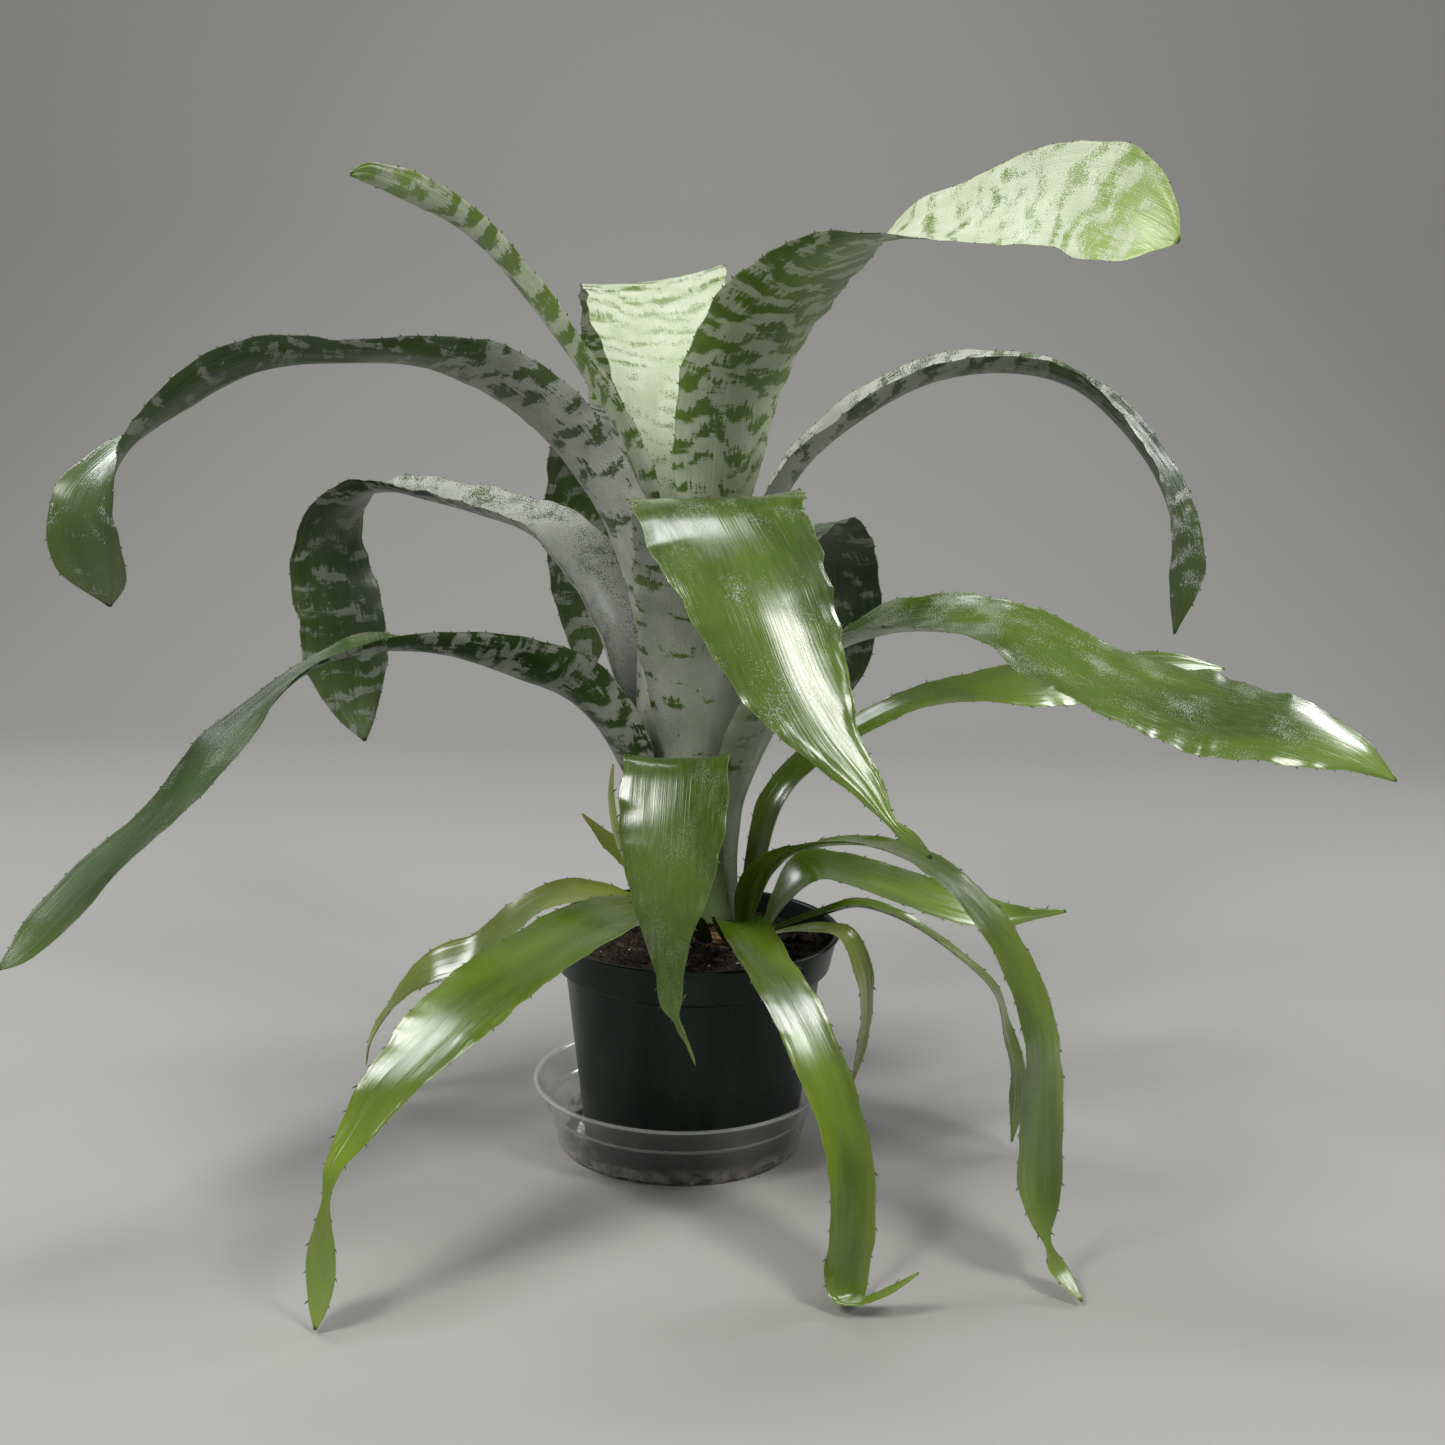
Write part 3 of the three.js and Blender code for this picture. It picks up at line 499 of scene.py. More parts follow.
def leaf_sheet(tree, inputs, top):
    """One face of the blade, from a grid: top is 1 for the upper face, -1 for the lower."""
    feeds = {0: 1.0, 1: 1.0, 2: inputs["Rows"], 3: inputs["Columns"]}
    grid = out(tree, "GeometryNodeMeshGrid", feeds, "Mesh")
    x, y, _ = split(out(tree, "GeometryNodeInputPosition"))
    row = calc("ROUND", (x + 0.5) * (inputs["Rows"] - 1.0))

    def fetch(name):
        feeds = {0: inputs["Geometry"], 1: named(tree, name), "Index": row}
        return out(tree, "GeometryNodeSampleIndex", feeds, data_type="FLOAT_VECTOR", domain="POINT")

    rib = rib_facts(fetch)
    u = calc("SINE", y * math.pi)
    ends = calc("MINIMUM", rib["share"] * 80.0, (1.0 - rib["share"]) * 60.0, clamp=True)
    lens = 1.0 - abs(u) ** 4.0
    lift = lens * ends * inputs["Thickness"] * (0.5 * top) + margin_wave(rib, u, inputs)
    px, py, pz = split(bent_place(rib, u, lift))
    place = joined(px, py, calc("MAXIMUM", pz, LEAST_HEIGHT))
    spot = joined(u * rib["half"], rib["run"], rib["share"])
    face = joined(0.5 + 0.5 * top, abs(u), rib["loose"])
    sheet = noted(noted(noted(grid, "leaf_spot", spot), "leaf_face", face), "new_place", place)
    sheet = moved(sheet, named(tree, "new_place"))
    if top < 0:
        sheet = out(tree, "GeometryNodeFlipFaces", {0: sheet})
    return sheet


def margin_spines(tree, inputs, hand):
    """Spines along one margin: hand is 1 for the left of the blade, -1 for the right."""
    rib = rib_facts(lambda name: named(tree, name))
    margin = put(tree, "ShaderNodeValue").outputs[0]
    margin.default_value = hand
    u = Wire(tree, margin)
    place = bent_place(rib, u, margin_wave(rib, u, inputs))
    outward = steer("SCALE", rib["across"], calc("COSINE", rib["cup"]) * hand)
    outward = steer("ADD", outward, steer("SCALE", rib["upward"], calc("SINE", rib["cup"])))
    ahead = steer("CROSS_PRODUCT", rib["across"], rib["upward"])
    lean = steer("ADD", steer("SCALE", outward, 0.8), steer("SCALE", ahead, 0.7))
    chain = moved(noted(inputs["Geometry"], "lean", lean), place)
    edge = out(tree, "GeometryNodeMeshToCurve", {0: chain})
    feeds = {"Curve": edge, "Length": inputs["Spine Spacing"]}
    edge = out(tree, "GeometryNodeResampleCurve", feeds, mode="LENGTH")
    feeds = {"Vertices": 5, "Radius Top": SPINE_POINT, "Radius Bottom": SPINE_FOOT,
             "Depth": inputs["Spine Length"]}
    cone = out(tree, "GeometryNodeMeshCone", feeds, "Mesh", fill_type="NGON")
    share, loose, _ = split(named(tree, "place"))
    on_blade = calc("GREATER_THAN", loose, 0.25) * calc("LESS_THAN", share, 0.975)
    turn = out(tree, "FunctionNodeAlignRotationToVector", {"Vector": named(tree, "lean")}, axis="Z")
    size = random_size(tree, 0.55, 1.25, SPINE_SEED + hand)
    return out(tree, "GeometryNodeInstanceOnPoints", {
        "Points": edge, "Selection": on_blade, "Instance": cone, "Rotation": turn, "Scale": size})


leaf_tree, leaf_in = new_tree("strap leaf", LEAF_INPUTS)
sheets = gathered(leaf_tree, *[leaf_sheet(leaf_tree, leaf_in, top) for top in (1, -1)])
skin = out(leaf_tree, "GeometryNodeMergeByDistance", {"Geometry": sheets, "Distance": MERGE_WITHIN})
skin = out(leaf_tree, "GeometryNodeSetShadeSmooth", {"Geometry": skin})
skin = painted(skin, leaf_in["Skin"])
spines = gathered(leaf_tree, *[margin_spines(leaf_tree, leaf_in, hand) for hand in (1, -1)])
spines = out(leaf_tree, "GeometryNodeRealizeInstances", {0: spines})
spines = painted(spines, leaf_in["Spine Finish"])
close_tree(leaf_tree, gathered(leaf_tree, spines, skin))
print("leaf tree:", len(leaf_tree.nodes), "nodes")

# %% [markdown]
# One helper runs a tree on an object: it sets the named inputs, lets Blender work
# the result out once, keeps that result as a plain mesh and takes the tree away
# again.

# %% Turn a tree's result into a plain mesh
def grow(holder, tree, values, name):
    added = holder.modifiers.new(tree.name, "NODES")
    added.node_group = tree
    for item in tree.interface.items_tree:
        if item.item_type == "SOCKET" and item.in_out == "INPUT" and item.name in values:
            added[item.identifier] = values[item.name]
    bpy.context.view_layer.update()
    seen = holder.evaluated_get(bpy.context.evaluated_depsgraph_get())
    mesh = bpy.data.meshes.new_from_object(seen)
    bpy.data.objects.remove(holder)
    mesh.name = name
    for spare in ("new_place", "across", "upward", "shape", "place", "lean"):
        if spare in mesh.attributes:
            mesh.attributes.remove(mesh.attributes[spare])
    return show(name, mesh)


def adopt(piece, slot, *solids):
    """The piece rides with the plant and stands for these measured solids."""
    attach(piece, "root")
    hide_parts(*solids)

# %% [markdown]
# A leaf's finish is the heart of this plant. Real scurf is a layer of tiny pale
# scales on a green skin. It lies in bands across the leaf that are ragged at their
# edges, because the scales follow the lengthwise veins. So the finish mixes a soft
# wave along the leaf with streaks stretched lengthwise and a fine speckle, and
# compares the sum with how well this part of this leaf is covered. Each face of
# each leaf has its own cover, given at a few places from base to tip.

# %% The scurf pattern
def stretched_noise(x, s, across, along, seed, detail=2.0, rough=0.5):
    """Noise with its own scale across and along the leaf, spread out to fill 0 to 1."""
    spot = joined(x * across, s * along, seed)
    made = put(x.tree, "ShaderNodeTexNoise", {
        "Vector": spot, "Scale": 1.0, "Detail": detail, "Roughness": rough})
    return out(x.tree, "ShaderNodeMapRange", {0: made.outputs[0], 1: 0.28, 2: 0.72})


def cover_ramp(share, stops):
    """How much of the face is silver, from 0 to 1, at places along the leaf."""
    made = put(share.tree, "ShaderNodeValToRGB", {0: share})
    marks = made.color_ramp.elements
    while len(marks) < len(stops):
        marks.new(0.5)
    for mark, (at, amount) in zip(marks, stops):
        mark.position, mark.color = at, (amount, amount, amount, 1)
    return out(share.tree, "ShaderNodeSeparateColor", {0: made.outputs[0]})


def blend_colour(amount, first, second):
    feeds = {0: amount, 6: first, 7: second}
    return out(amount.tree, "ShaderNodeMix", feeds, 2, data_type="RGBA")


def new_finish(name):
    finish = bpy.data.materials.new(name)
    finish.use_nodes = True
    finish.node_tree.nodes.clear()
    return finish, finish.node_tree


def bumped(strength, distance, height):
    feeds = {"Strength": strength, "Distance": distance, "Height": height}
    return out(height.tree, "ShaderNodeBump", feeds)


def surface(tree, colour, roughness, **levels):
    """The shader itself. Levels are its other inputs, named with _ for each space."""
    feeds = {"Base Color": colour, "Roughness": roughness}
    feeds.update({label.replace("_", " "): level for label, level in levels.items()})
    shader = put(tree, "ShaderNodeBsdfPrincipled", feeds)
    put(tree, "ShaderNodeOutputMaterial", {0: shader.outputs[0]})


def leaf_finish(name, look, seed):
    finish, tree = new_finish(name)
    x, s, share = split(out(tree, "ShaderNodeAttribute", pick="Vector", attribute_name="leaf_spot"))
    face, edge, _ = split(out(tree, "ShaderNodeAttribute", pick="Vector", attribute_name="leaf_face"))
    upper = calc("GREATER_THAN", face, 0.5)
    streak = stretched_noise(x, s, 540, 95, seed, 2.0)
    speck = stretched_noise(x, s, 1900, 1300, seed + 7, 2.0, 0.65)
    patch = stretched_noise(x, s, 70, 45, seed + 3, 2.0)
    drift = stretched_noise(x, s, 26, 11, seed + 5, 2.0)
    dashes = stretched_noise(x, s, 42, 120, seed + 9, 3.0, 0.6)
    shove = stretched_noise(x, s, 80, 85, seed + 13, 2.0)
    bow = edge ** 2.0 * 0.22
    closer = calc("MULTIPLY_ADD", upper, 0.6, 1.0)
    phase = s / look["spacing"] * closer + drift * 2.0 + shove * 0.18 + streak * 0.2 - bow
    wave = calc("MULTIPLY_ADD", calc("SINE", phase * (2 * math.pi)), 0.5, 0.5)
    grain = streak * 0.5 + speck * 0.5
    banded = wave * 0.22 + grain * 0.3 + dashes * 0.48
    dusted = speck * 0.62 + patch * 0.38
    dust = calc("MULTIPLY_ADD", upper, look["dust_upper"] - look["dust_under"], look["dust_under"])
    pattern = calc("MULTIPLY_ADD", dusted * dust + banded * (1.0 - dust), 1.9, -0.45)
    cover_up = cover_ramp(share, look["upper"])
    cover_down = cover_ramp(share, look["under"])
    bare = 1.0 - (upper * cover_up + (1.0 - upper) * cover_down)
    scurf = ramp_between(pattern, bare - 0.07, bare + 0.1)
    scurf = calc("MULTIPLY", scurf, calc("MULTIPLY_ADD", speck, 0.5, 0.62), clamp=True)
    scurf = scurf * look["scurf"]
    deep = blend_colour(ramp_between(drift, 0.1, 0.9), look["dark"], look["green"])
    deep = blend_colour(streak * 0.35, deep, look["vein"])
    tip = ramp_between(share, 0.86, 1.0)
    deep = blend_colour(tip * look["tip_amount"], deep, look["tip"])
    silver = blend_colour(patch * 0.65, look["silver"], look["silver_shade"])
    worn = ramp_between(share, 0.45, 0.8) * (1.0 - upper)
    silver = blend_colour(worn * look["worn"], silver, WORN_SILVER)
    colour = blend_colour(scurf, deep, silver)
    rim = ramp_between(edge, 0.975, 0.999)
    colour = blend_colour(rim * 0.55, colour, look["rim"])
    gloss = calc("MULTIPLY_ADD", streak, 0.16, look["gloss"])
    gloss = calc("ADD", gloss, scurf * 0.3, clamp=True)
    veins = stretched_noise(x, s, 900, 9, seed + 1, 2.5, 0.6)
    rough_height = veins * 0.55 + speck * scurf * 0.45
    surface(tree, colour, gloss, Normal=bumped(0.7, look["ribbing"] * MM, rough_height),
            Specular_IOR_Level=look["shine"], Coat_Weight=look["wax"], Coat_Roughness=0.18)
    return finish

# %% [markdown]
# The looks are set leaf by leaf. Undersides near the funnel are
# nearly all silver with thin blackish-green lines, blades have bolder green bands,
# the youngest leaves at the top are the whitest, and the leaves at the front have
# lost most of their scurf and shine dark green. Low leaves have next to none.

# %% Looks of the leaves
def rgb(r, g, b):
    return (r, g, b, 1.0)


SILVER_LOOK = {
    "spacing": 22 * MM, "worn": 0.7, "scurf": 1.0, "dust_upper": 0.4, "dust_under": 0.0,
    "gloss": 0.26, "shine": 0.5, "wax": 0.1, "ribbing": 0.4,
    "dark": rgb(0.018, 0.036, 0.012), "green": rgb(0.050, 0.088, 0.018), "vein": rgb(0.045, 0.085, 0.022),
    "silver": rgb(0.47, 0.48, 0.43), "silver_shade": rgb(0.27, 0.28, 0.25),
    "tip": rgb(0.12, 0.18, 0.03), "tip_amount": 0.3, "rim": rgb(0.24, 0.27, 0.13),
    "upper": [(0, 0.8), (0.5, 0.8), (1, 0.5)], "under": [(0, 0.94), (0.45, 0.8), (1, 0.4)],
}
GREEN_LOOK = {
    **SILVER_LOOK, "scurf": 0.12, "gloss": 0.15, "wax": 0.5,
    "dust_upper": 1.0, "dust_under": 1.0, "ribbing": 0.24,
    "dark": rgb(0.060, 0.108, 0.004), "green": rgb(0.150, 0.228, 0.010), "vein": rgb(0.090, 0.145, 0.006),
    "rim": rgb(0.20, 0.30, 0.06), "tip": rgb(0.20, 0.31, 0.05), "tip_amount": 0.6,
    "upper": [(0, 0.02), (0.5, 0.0), (1, 0.05)], "under": [(0, 0.03), (0.5, 0.02), (1, 0.02)],
}
YELLOW_LOOK = {
    **GREEN_LOOK, "dark": rgb(0.14, 0.21, 0.025), "green": rgb(0.28, 0.35, 0.045),
    "vein": rgb(0.22, 0.27, 0.05), "rim": rgb(0.36, 0.34, 0.10), "tip": rgb(0.38, 0.30, 0.08),
}
BRIGHT = {"worn": 0.0, "silver": rgb(0.58, 0.62, 0.49), "silver_shade": rgb(0.36, 0.42, 0.26),
          "dark": rgb(0.075, 0.135, 0.018), "green": rgb(0.135, 0.215, 0.028),
          "vein": rgb(0.12, 0.19, 0.03), "tip": rgb(0.30, 0.42, 0.12),
          "tip_amount": 0.9, "rim": rgb(0.36, 0.42, 0.22)}
WORN_SILVER = rgb(0.13, 0.16, 0.10)
WORN_FRONT = {"scurf": 0.8, "dark": rgb(0.028, 0.060, 0.005), "green": rgb(0.075, 0.135, 0.010)}
LEAF_LOOKS = {
    "leaf_top_right": {
        **BRIGHT, "spacing": 21 * MM,
        "under": [(0, 0.97), (0.36, 0.90), (0.46, 0.60), (0.66, 0.42), (1, 0.5)],
        "upper": [(0, 0.9), (0.6, 0.70), (0.92, 0.66), (0.985, 0.15), (1, 0.0)]},
    "leaf_top_back": {
        **BRIGHT, "spacing": 19 * MM, "upper": [(0, 0.95), (0.42, 0.84), (0.60, 0.66), (1, 0.6)],
        "under": [(0, 0.9), (0.5, 0.7), (1, 0.5)]},
    "leaf_top_left": {
        **BRIGHT, "spacing": 17 * MM, "under": [(0, 0.9), (0.5, 0.62), (1, 0.5)],
        "upper": [(0, 0.9), (0.5, 0.75), (0.9, 0.6), (1, 0.1)]},
    "leaf_right_arch": {
        "spacing": 25 * MM, "under": [(0, 0.96), (0.34, 0.80), (0.55, 0.62), (0.75, 0.35), (1, 0.25)],
        "upper": [(0, 0.9), (0.5, 0.78), (0.8, 0.4), (1, 0.2)]},
    "leaf_left_arch": {
        "spacing": 25 * MM,
        "under": [(0, 0.98), (0.28, 0.92), (0.42, 0.66), (0.55, 0.60), (0.62, 0.26), (1, 0.18)],
        "upper": [(0, 0.9), (0.5, 0.66), (0.60, 0.36), (0.84, 0.14), (1, 0.16)]},
    "leaf_back_left": {
        "upper": [(0, 0.9), (0.5, 0.6), (1, 0.3)], "under": [(0, 0.95), (0.5, 0.5), (1, 0.35)]},
    "leaf_front": {
        **GREEN_LOOK, **WORN_FRONT, "spacing": 20 * MM,
        "under": [(0, 0.97), (0.3, 0.88), (0.45, 0.7), (1, 0.4)],
        "dust_under": 0.0, "upper": [(0, 0.5), (0.45, 0.28), (0.6, 0.10), (0.85, 0.03), (1, 0.0)],
        "silver": SILVER_LOOK["silver"], "dust_upper": 0.9},
    "leaf_left_mid": {
        "spacing": 20 * MM, "dust_upper": 0.75, "under": [(0, 0.96), (0.3, 0.85), (0.6, 0.36), (1, 0.30)],
        "upper": [(0, 0.9), (0.45, 0.72), (0.6, 0.6), (1, 0.3)]},
    "leaf_back_right": {
        "upper": [(0, 0.7), (0.5, 0.4), (1, 0.2)], "under": [(0, 0.9), (0.5, 0.3), (1, 0.25)]},
    "leaf_right": {
        **GREEN_LOOK, **WORN_FRONT, "spacing": 22 * MM,
        "under": [(0, 0.95), (0.25, 0.8), (0.45, 0.6), (1, 0.25)],
        "dust_under": 0.1, "upper": [(0, 0.5), (0.4, 0.5), (0.55, 0.3), (0.8, 0.12), (1, 0.1)],
        "silver": rgb(0.42, 0.48, 0.36), "dust_upper": 0.85},
    "leaf_left_low": {
        "spacing": 24 * MM, "dust_upper": 0.85, "dark": rgb(0.016, 0.036, 0.008),
        "green": rgb(0.036, 0.075, 0.012), "scurf": 0.7, "shine": 0.12, "wax": 0.0,
        "under": [(0, 0.9), (0.16, 0.6), (0.26, 0.5), (0.5, 0.42), (1, 0.25)],
        "upper": [(0, 0.5), (0.4, 0.34), (0.72, 0.16), (0.8, 0.02), (1, 0.0)]},
    "leaf_back_low": {
        "upper": [(0, 0.4), (1, 0.15)], "under": [(0, 0.8), (0.5, 0.3), (1, 0.2)]},
    "leaf_front_short": {
        **GREEN_LOOK, **WORN_FRONT, "scurf": 0.25,
        "under": [(0, 0.9), (0.4, 0.75), (1, 0.3)], "dust_under": 0.0,
        "upper": [(0, 0.3), (0.5, 0.1), (1, 0.06)]},
}
YELLOW_LEAVES = ("low_leaf_left_back", "low_leaf_left_small", "low_leaf_right_small", "low_leaf_left_bud")

# %% [markdown]
# A spine is a hard, dry point. It is dark brown, mottled a little paler at random,
# and glossier where it is darker.

# %% Finish of the spines
def object_noise(tree, scale, detail=3.0, rough=0.55, stretch=(1, 1, 1)):
    spot = out(tree, "ShaderNodeTexCoord", pick="Object")
    spot = out(tree, "ShaderNodeMapping", {"Vector": spot, "Scale": stretch})
    return out(tree, "ShaderNodeTexNoise", {"Vector": spot, "Scale": scale, "Detail": detail,
                                            "Roughness": rough})


spine_finish, tree = new_finish("spine_brown")
mottle = ramp_between(object_noise(tree, 900), 0.35, 0.65)
colour = blend_colour(mottle, rgb(0.035, 0.03, 0.012), rgb(0.1, 0.09, 0.03))
surface(tree, colour, calc("MULTIPLY_ADD", mottle, 0.2, 0.35))

# %% [markdown]
# Now every leaf is grown with the same tree. Silver leaves start with the stations
# of their sheath and low leaves start straight at the mix. Silver blades wave more
# at their margins than low leaves do, except for two at the edge of the measured box.

# %% Grow every leaf
CALM_LEAVES, CALM_WAVE = ("leaf_left_low", "leaf_top_back"), 1 * MM
LOW_LEAF_VALUES = {"Wave": 3 * MM, "Pleats": 0.9 * MM, "Thickness": 0.9 * MM,
                   "Spine Spacing": 13 * MM, "Spine Length": 2.6 * MM}


def make_leaf(node, azimuth, knots, sheath_knots, look, slot, number, **changes):
    chain, rows, length = midrib_chain("rib_" + node, azimuth, knots, sheath_knots)
    finish = leaf_finish("skin_of_" + node, look, 3.1 * number)
    values = {"Rows": rows, "Seed": 1.7 * number, "Skin": finish, "Spine Finish": spine_finish, **changes}
    leaf = grow(chain, leaf_tree, values, node + "_blade")
    print(node, "length in mm:", round(length), "faces:", len(leaf.data.polygons))
    adopt(leaf, slot, node)


for number, (node, (azimuth, layer, sheath, rows)) in enumerate(ROSETTE.items()):
    funnel = funnel_stations(azimuth, layer, sheath, rows[0][3])
    knots = funnel + [station(azimuth, row) for row in rows]
    look = {**SILVER_LOOK, **LEAF_LOOKS[node]}
    calm = {"Wave": CALM_WAVE} if node in CALM_LEAVES else {}
    make_leaf(node, azimuth, knots, len(funnel), look, "silver_leaf", number, **calm)
for number, (node, (azimuth, near, over)) in enumerate(LOW_LEAVES.items(), len(ROSETTE)):
    knots = [station(azimuth, row) for row in near + [past_the_rim(row) for row in over]]
    yellow = node in YELLOW_LEAVES
    make_leaf(
        node, azimuth, knots, 0, YELLOW_LOOK if yellow else GREEN_LOOK,
        "yellow_leaf" if yellow else "green_leaf", number,
        **LOW_LEAF_VALUES)

# %% [markdown]
# Pot, saucer, mix and stem are all round, so each starts as an outline of radius and
# height. Corners of the outline are rounded first, as a mould's are, and then the
# outline is turned about the upright axis with enough sides to look smooth.

# %% Outlines with rounded corners
def rounded(outline, radius, steps=4):
    """The closed outline with each corner replaced by a short arc, except on the axis."""
    made, count = [], len(outline)
    for i, corner in enumerate(outline):
        if corner[0] == 0:
            made.append(Vector(corner))
            continue
        here = Vector(corner)
        back = Vector(outline[i - 1]) - here
        forth = Vector(outline[(i + 1) % count]) - here
        cut = min(radius, 0.45 * back.length, 0.45 * forth.length)
        start, end = here + back.normalized() * cut, here + forth.normalized() * cut
        for k in range(steps + 1):
            t = k / steps
            made.append(start * (1 - t) ** 2 + here * 2 * t * (1 - t) + end * t * t)
    return made


def turned(name, outline, sides, centre, wobble=lambda r, z, a: (r, z)):
    """A closed solid turned from an outline in mm that starts and ends on the axis."""
    verts, rings = [], []
    for point in outline:
        if point[0] < 1e-6:
            rings.append([len(verts)])
            verts.append((centre[0], centre[1], centre[2] + wobble(0, point[1], 0)[1]))
            continue
        rings.append(list(range(len(verts), len(verts) + sides)))
        for k in range(sides):
            a = 2 * math.pi * k / sides
            r, z = wobble(point[0], point[1], a)
            verts.append((centre[0] + r * math.cos(a), centre[1] + r * math.sin(a), centre[2] + z))
    faces = []
    for low, high in zip(rings, rings[1:]):
        for k in range(sides):
            n = (k + 1) % sides
            if len(low) == 1:
                faces.append((low[0], high[n], high[k]))
            elif len(high) == 1:
                faces.append((low[k], low[n], high[0]))
            else:
                faces.append((low[k], low[n], high[n], high[k]))
    mesh = bpy.data.meshes.new(name)
    mesh.from_pydata([[c * MM for c in v] for v in verts], [], faces)
    mesh.shade_smooth()
    return show(name, mesh)

# %% [markdown]
# The pot is injection-moulded in one piece: a thin tapered wall, a collar that
# stacks on the next pot, and a lip turned outwards. Its floor has a ring of drain
# holes. The holes repeat, so a tree places the cutters round the ring and cuts them
# all at once.

# %% Pot with its drain holes
POT_BASE_R, POT_H, POT_WALL, POT_BAND_H, POT_BAND_STEP, POT_FLARE, POT_LIP = 60, 124, 1.6, 22, 5, 4, 1.5
POT_CENTRE = (6.5, 0, 1.5)
BAND_FOOT = POT_H - POT_BAND_H
WALL_TOP_R = POT_RIM_R - POT_LIP - POT_FLARE - POT_BAND_STEP
BAND_R = WALL_TOP_R + POT_BAND_STEP
FLARE_R = BAND_R + POT_FLARE

pot_outline = rounded([
    (0, 0), (POT_BASE_R, 0), (WALL_TOP_R, BAND_FOOT), (BAND_R, BAND_FOOT + POT_WALL),
    (FLARE_R, POT_H - POT_WALL), (POT_RIM_R, POT_H - POT_WALL), (POT_RIM_R, POT_H),
    (FLARE_R - POT_WALL, POT_H), (BAND_R - POT_WALL, BAND_FOOT + 2 * POT_WALL),
    (WALL_TOP_R - POT_WALL, BAND_FOOT + POT_WALL), (POT_BASE_R - POT_WALL, POT_WALL), (0, POT_WALL)], 1.4)

drill_tree, drill_in = new_tree("drain holes", {
    "Holes": 6, "Hole Radius": 5 * MM, "Ring Radius": 46.8 * MM, "Depth": 7 * MM,
    "Centre": "Vector", "Finish": "Material"})
ring = out(drill_tree, "GeometryNodeMeshCircle", {"Vertices": drill_in["Holes"],
                                                  "Radius": drill_in["Ring Radius"]})
cutter = out(drill_tree, "GeometryNodeMeshCylinder", {"Vertices": 28, "Radius": drill_in["Hole Radius"],
                                                      "Depth": drill_in["Depth"]})
cutters = out(drill_tree, "GeometryNodeInstanceOnPoints", {"Points": ring, "Instance": cutter})
cutters = out(drill_tree, "GeometryNodeRealizeInstances", {0: cutters})
cutters = out(drill_tree, "GeometryNodeTransform", {"Geometry": cutters,
                                                    "Translation": drill_in["Centre"]})
drilled = out(drill_tree, "GeometryNodeMeshBoolean", {
    "Mesh 1": drill_in["Geometry"], "Mesh 2": cutters}, operation="DIFFERENCE", solver="EXACT")
close_tree(drill_tree, painted(drilled, drill_in["Finish"]))
print("pot outline:", len(pot_outline), "points")

# %% [markdown]
# Nursery plastic is a very dark green with a soft sheen. It carries fine scratches,
# a bloom of dust and lime towards the bottom where water dries, and a few specks of
# mix. All of that is colour and gloss, too thin to be shape.

# %% Finish of the pot
pot_finish, tree = new_finish("dark_green_plastic")
scuffs = ramp_between(object_noise(tree, 60, 4, 0.6, (1, 1, 0.25)), 0.45, 0.75)
specks = ramp_between(object_noise(tree, 700, 2, 0.5), 0.66, 0.72)
height = split(out(tree, "ShaderNodeTexCoord", pick="Object"))[2]
damp = ramp_between(height, 0.045, 0.0)
lime = damp * ramp_between(object_noise(tree, 160, 4, 0.7), 0.42, 0.7)
colour = blend_colour(scuffs, rgb(0.0028, 0.011, 0.0058), rgb(0.005, 0.016, 0.009))
colour = blend_colour(lime * 0.35, colour, rgb(0.06, 0.065, 0.05))
colour = blend_colour(specks * 0.4, colour, rgb(0.07, 0.06, 0.045))
grain = object_noise(tree, 1500, 2)
surface(tree, colour, calc("MULTIPLY_ADD", scuffs, 0.14, 0.3),
        Normal=bumped(0.25, 0.05 * MM, grain), Specular_IOR_Level=0.3)

pot = grow(turned("pot_blank", pot_outline, 144, POT_CENTRE), drill_tree,
           {"Centre": [c * MM for c in POT_CENTRE], "Finish": pot_finish}, "nursery_pot")
adopt(pot, "green_plastic", "pot")
print("pot faces:", len(pot.data.polygons))

# %% [markdown]
# The saucer is a thin clear sheet formed over a mould, so it has no sharp corner
# anywhere: a flat floor, a ledge half way up and a rolled lip. It wavers by a few
# tenths of a millimetre, which is what makes clear sheet glint unevenly, and its lip
# and ledge carry a painted highlight: bands painted whiter and less clear.

# %% Saucer
SAUCER_BASE_R, STEP_OUT, RIM_OUT, STEP_H, SAUCER_H = 69, 6.5, 14.5, 20.5, 37
SHEET, LEDGE, ROLL = 1.2, 1.6, 2.4
step_r, rim_r = SAUCER_BASE_R + STEP_OUT, SAUCER_BASE_R + RIM_OUT
saucer_outline = rounded([
    (0, 0), (SAUCER_BASE_R, 0), (step_r - LEDGE, STEP_H), (step_r, STEP_H + SHEET),
    (rim_r - ROLL, SAUCER_H - SHEET), (rim_r, SAUCER_H - SHEET), (rim_r, SAUCER_H),
    (rim_r - ROLL - SHEET, SAUCER_H), (step_r - SHEET, STEP_H + 2 * SHEET),
    (step_r - LEDGE - SHEET, STEP_H + SHEET), (SAUCER_BASE_R - SHEET, SHEET), (0, SHEET)], 1.1)


def formed_sheet(r, z, a):
    waver = 0.22 * math.sin(5 * a + 0.7) + 0.13 * math.sin(11 * a + 2.1 + z * 0.08)
    return r + (waver if 3 < z < SAUCER_H - 3 else 0), z


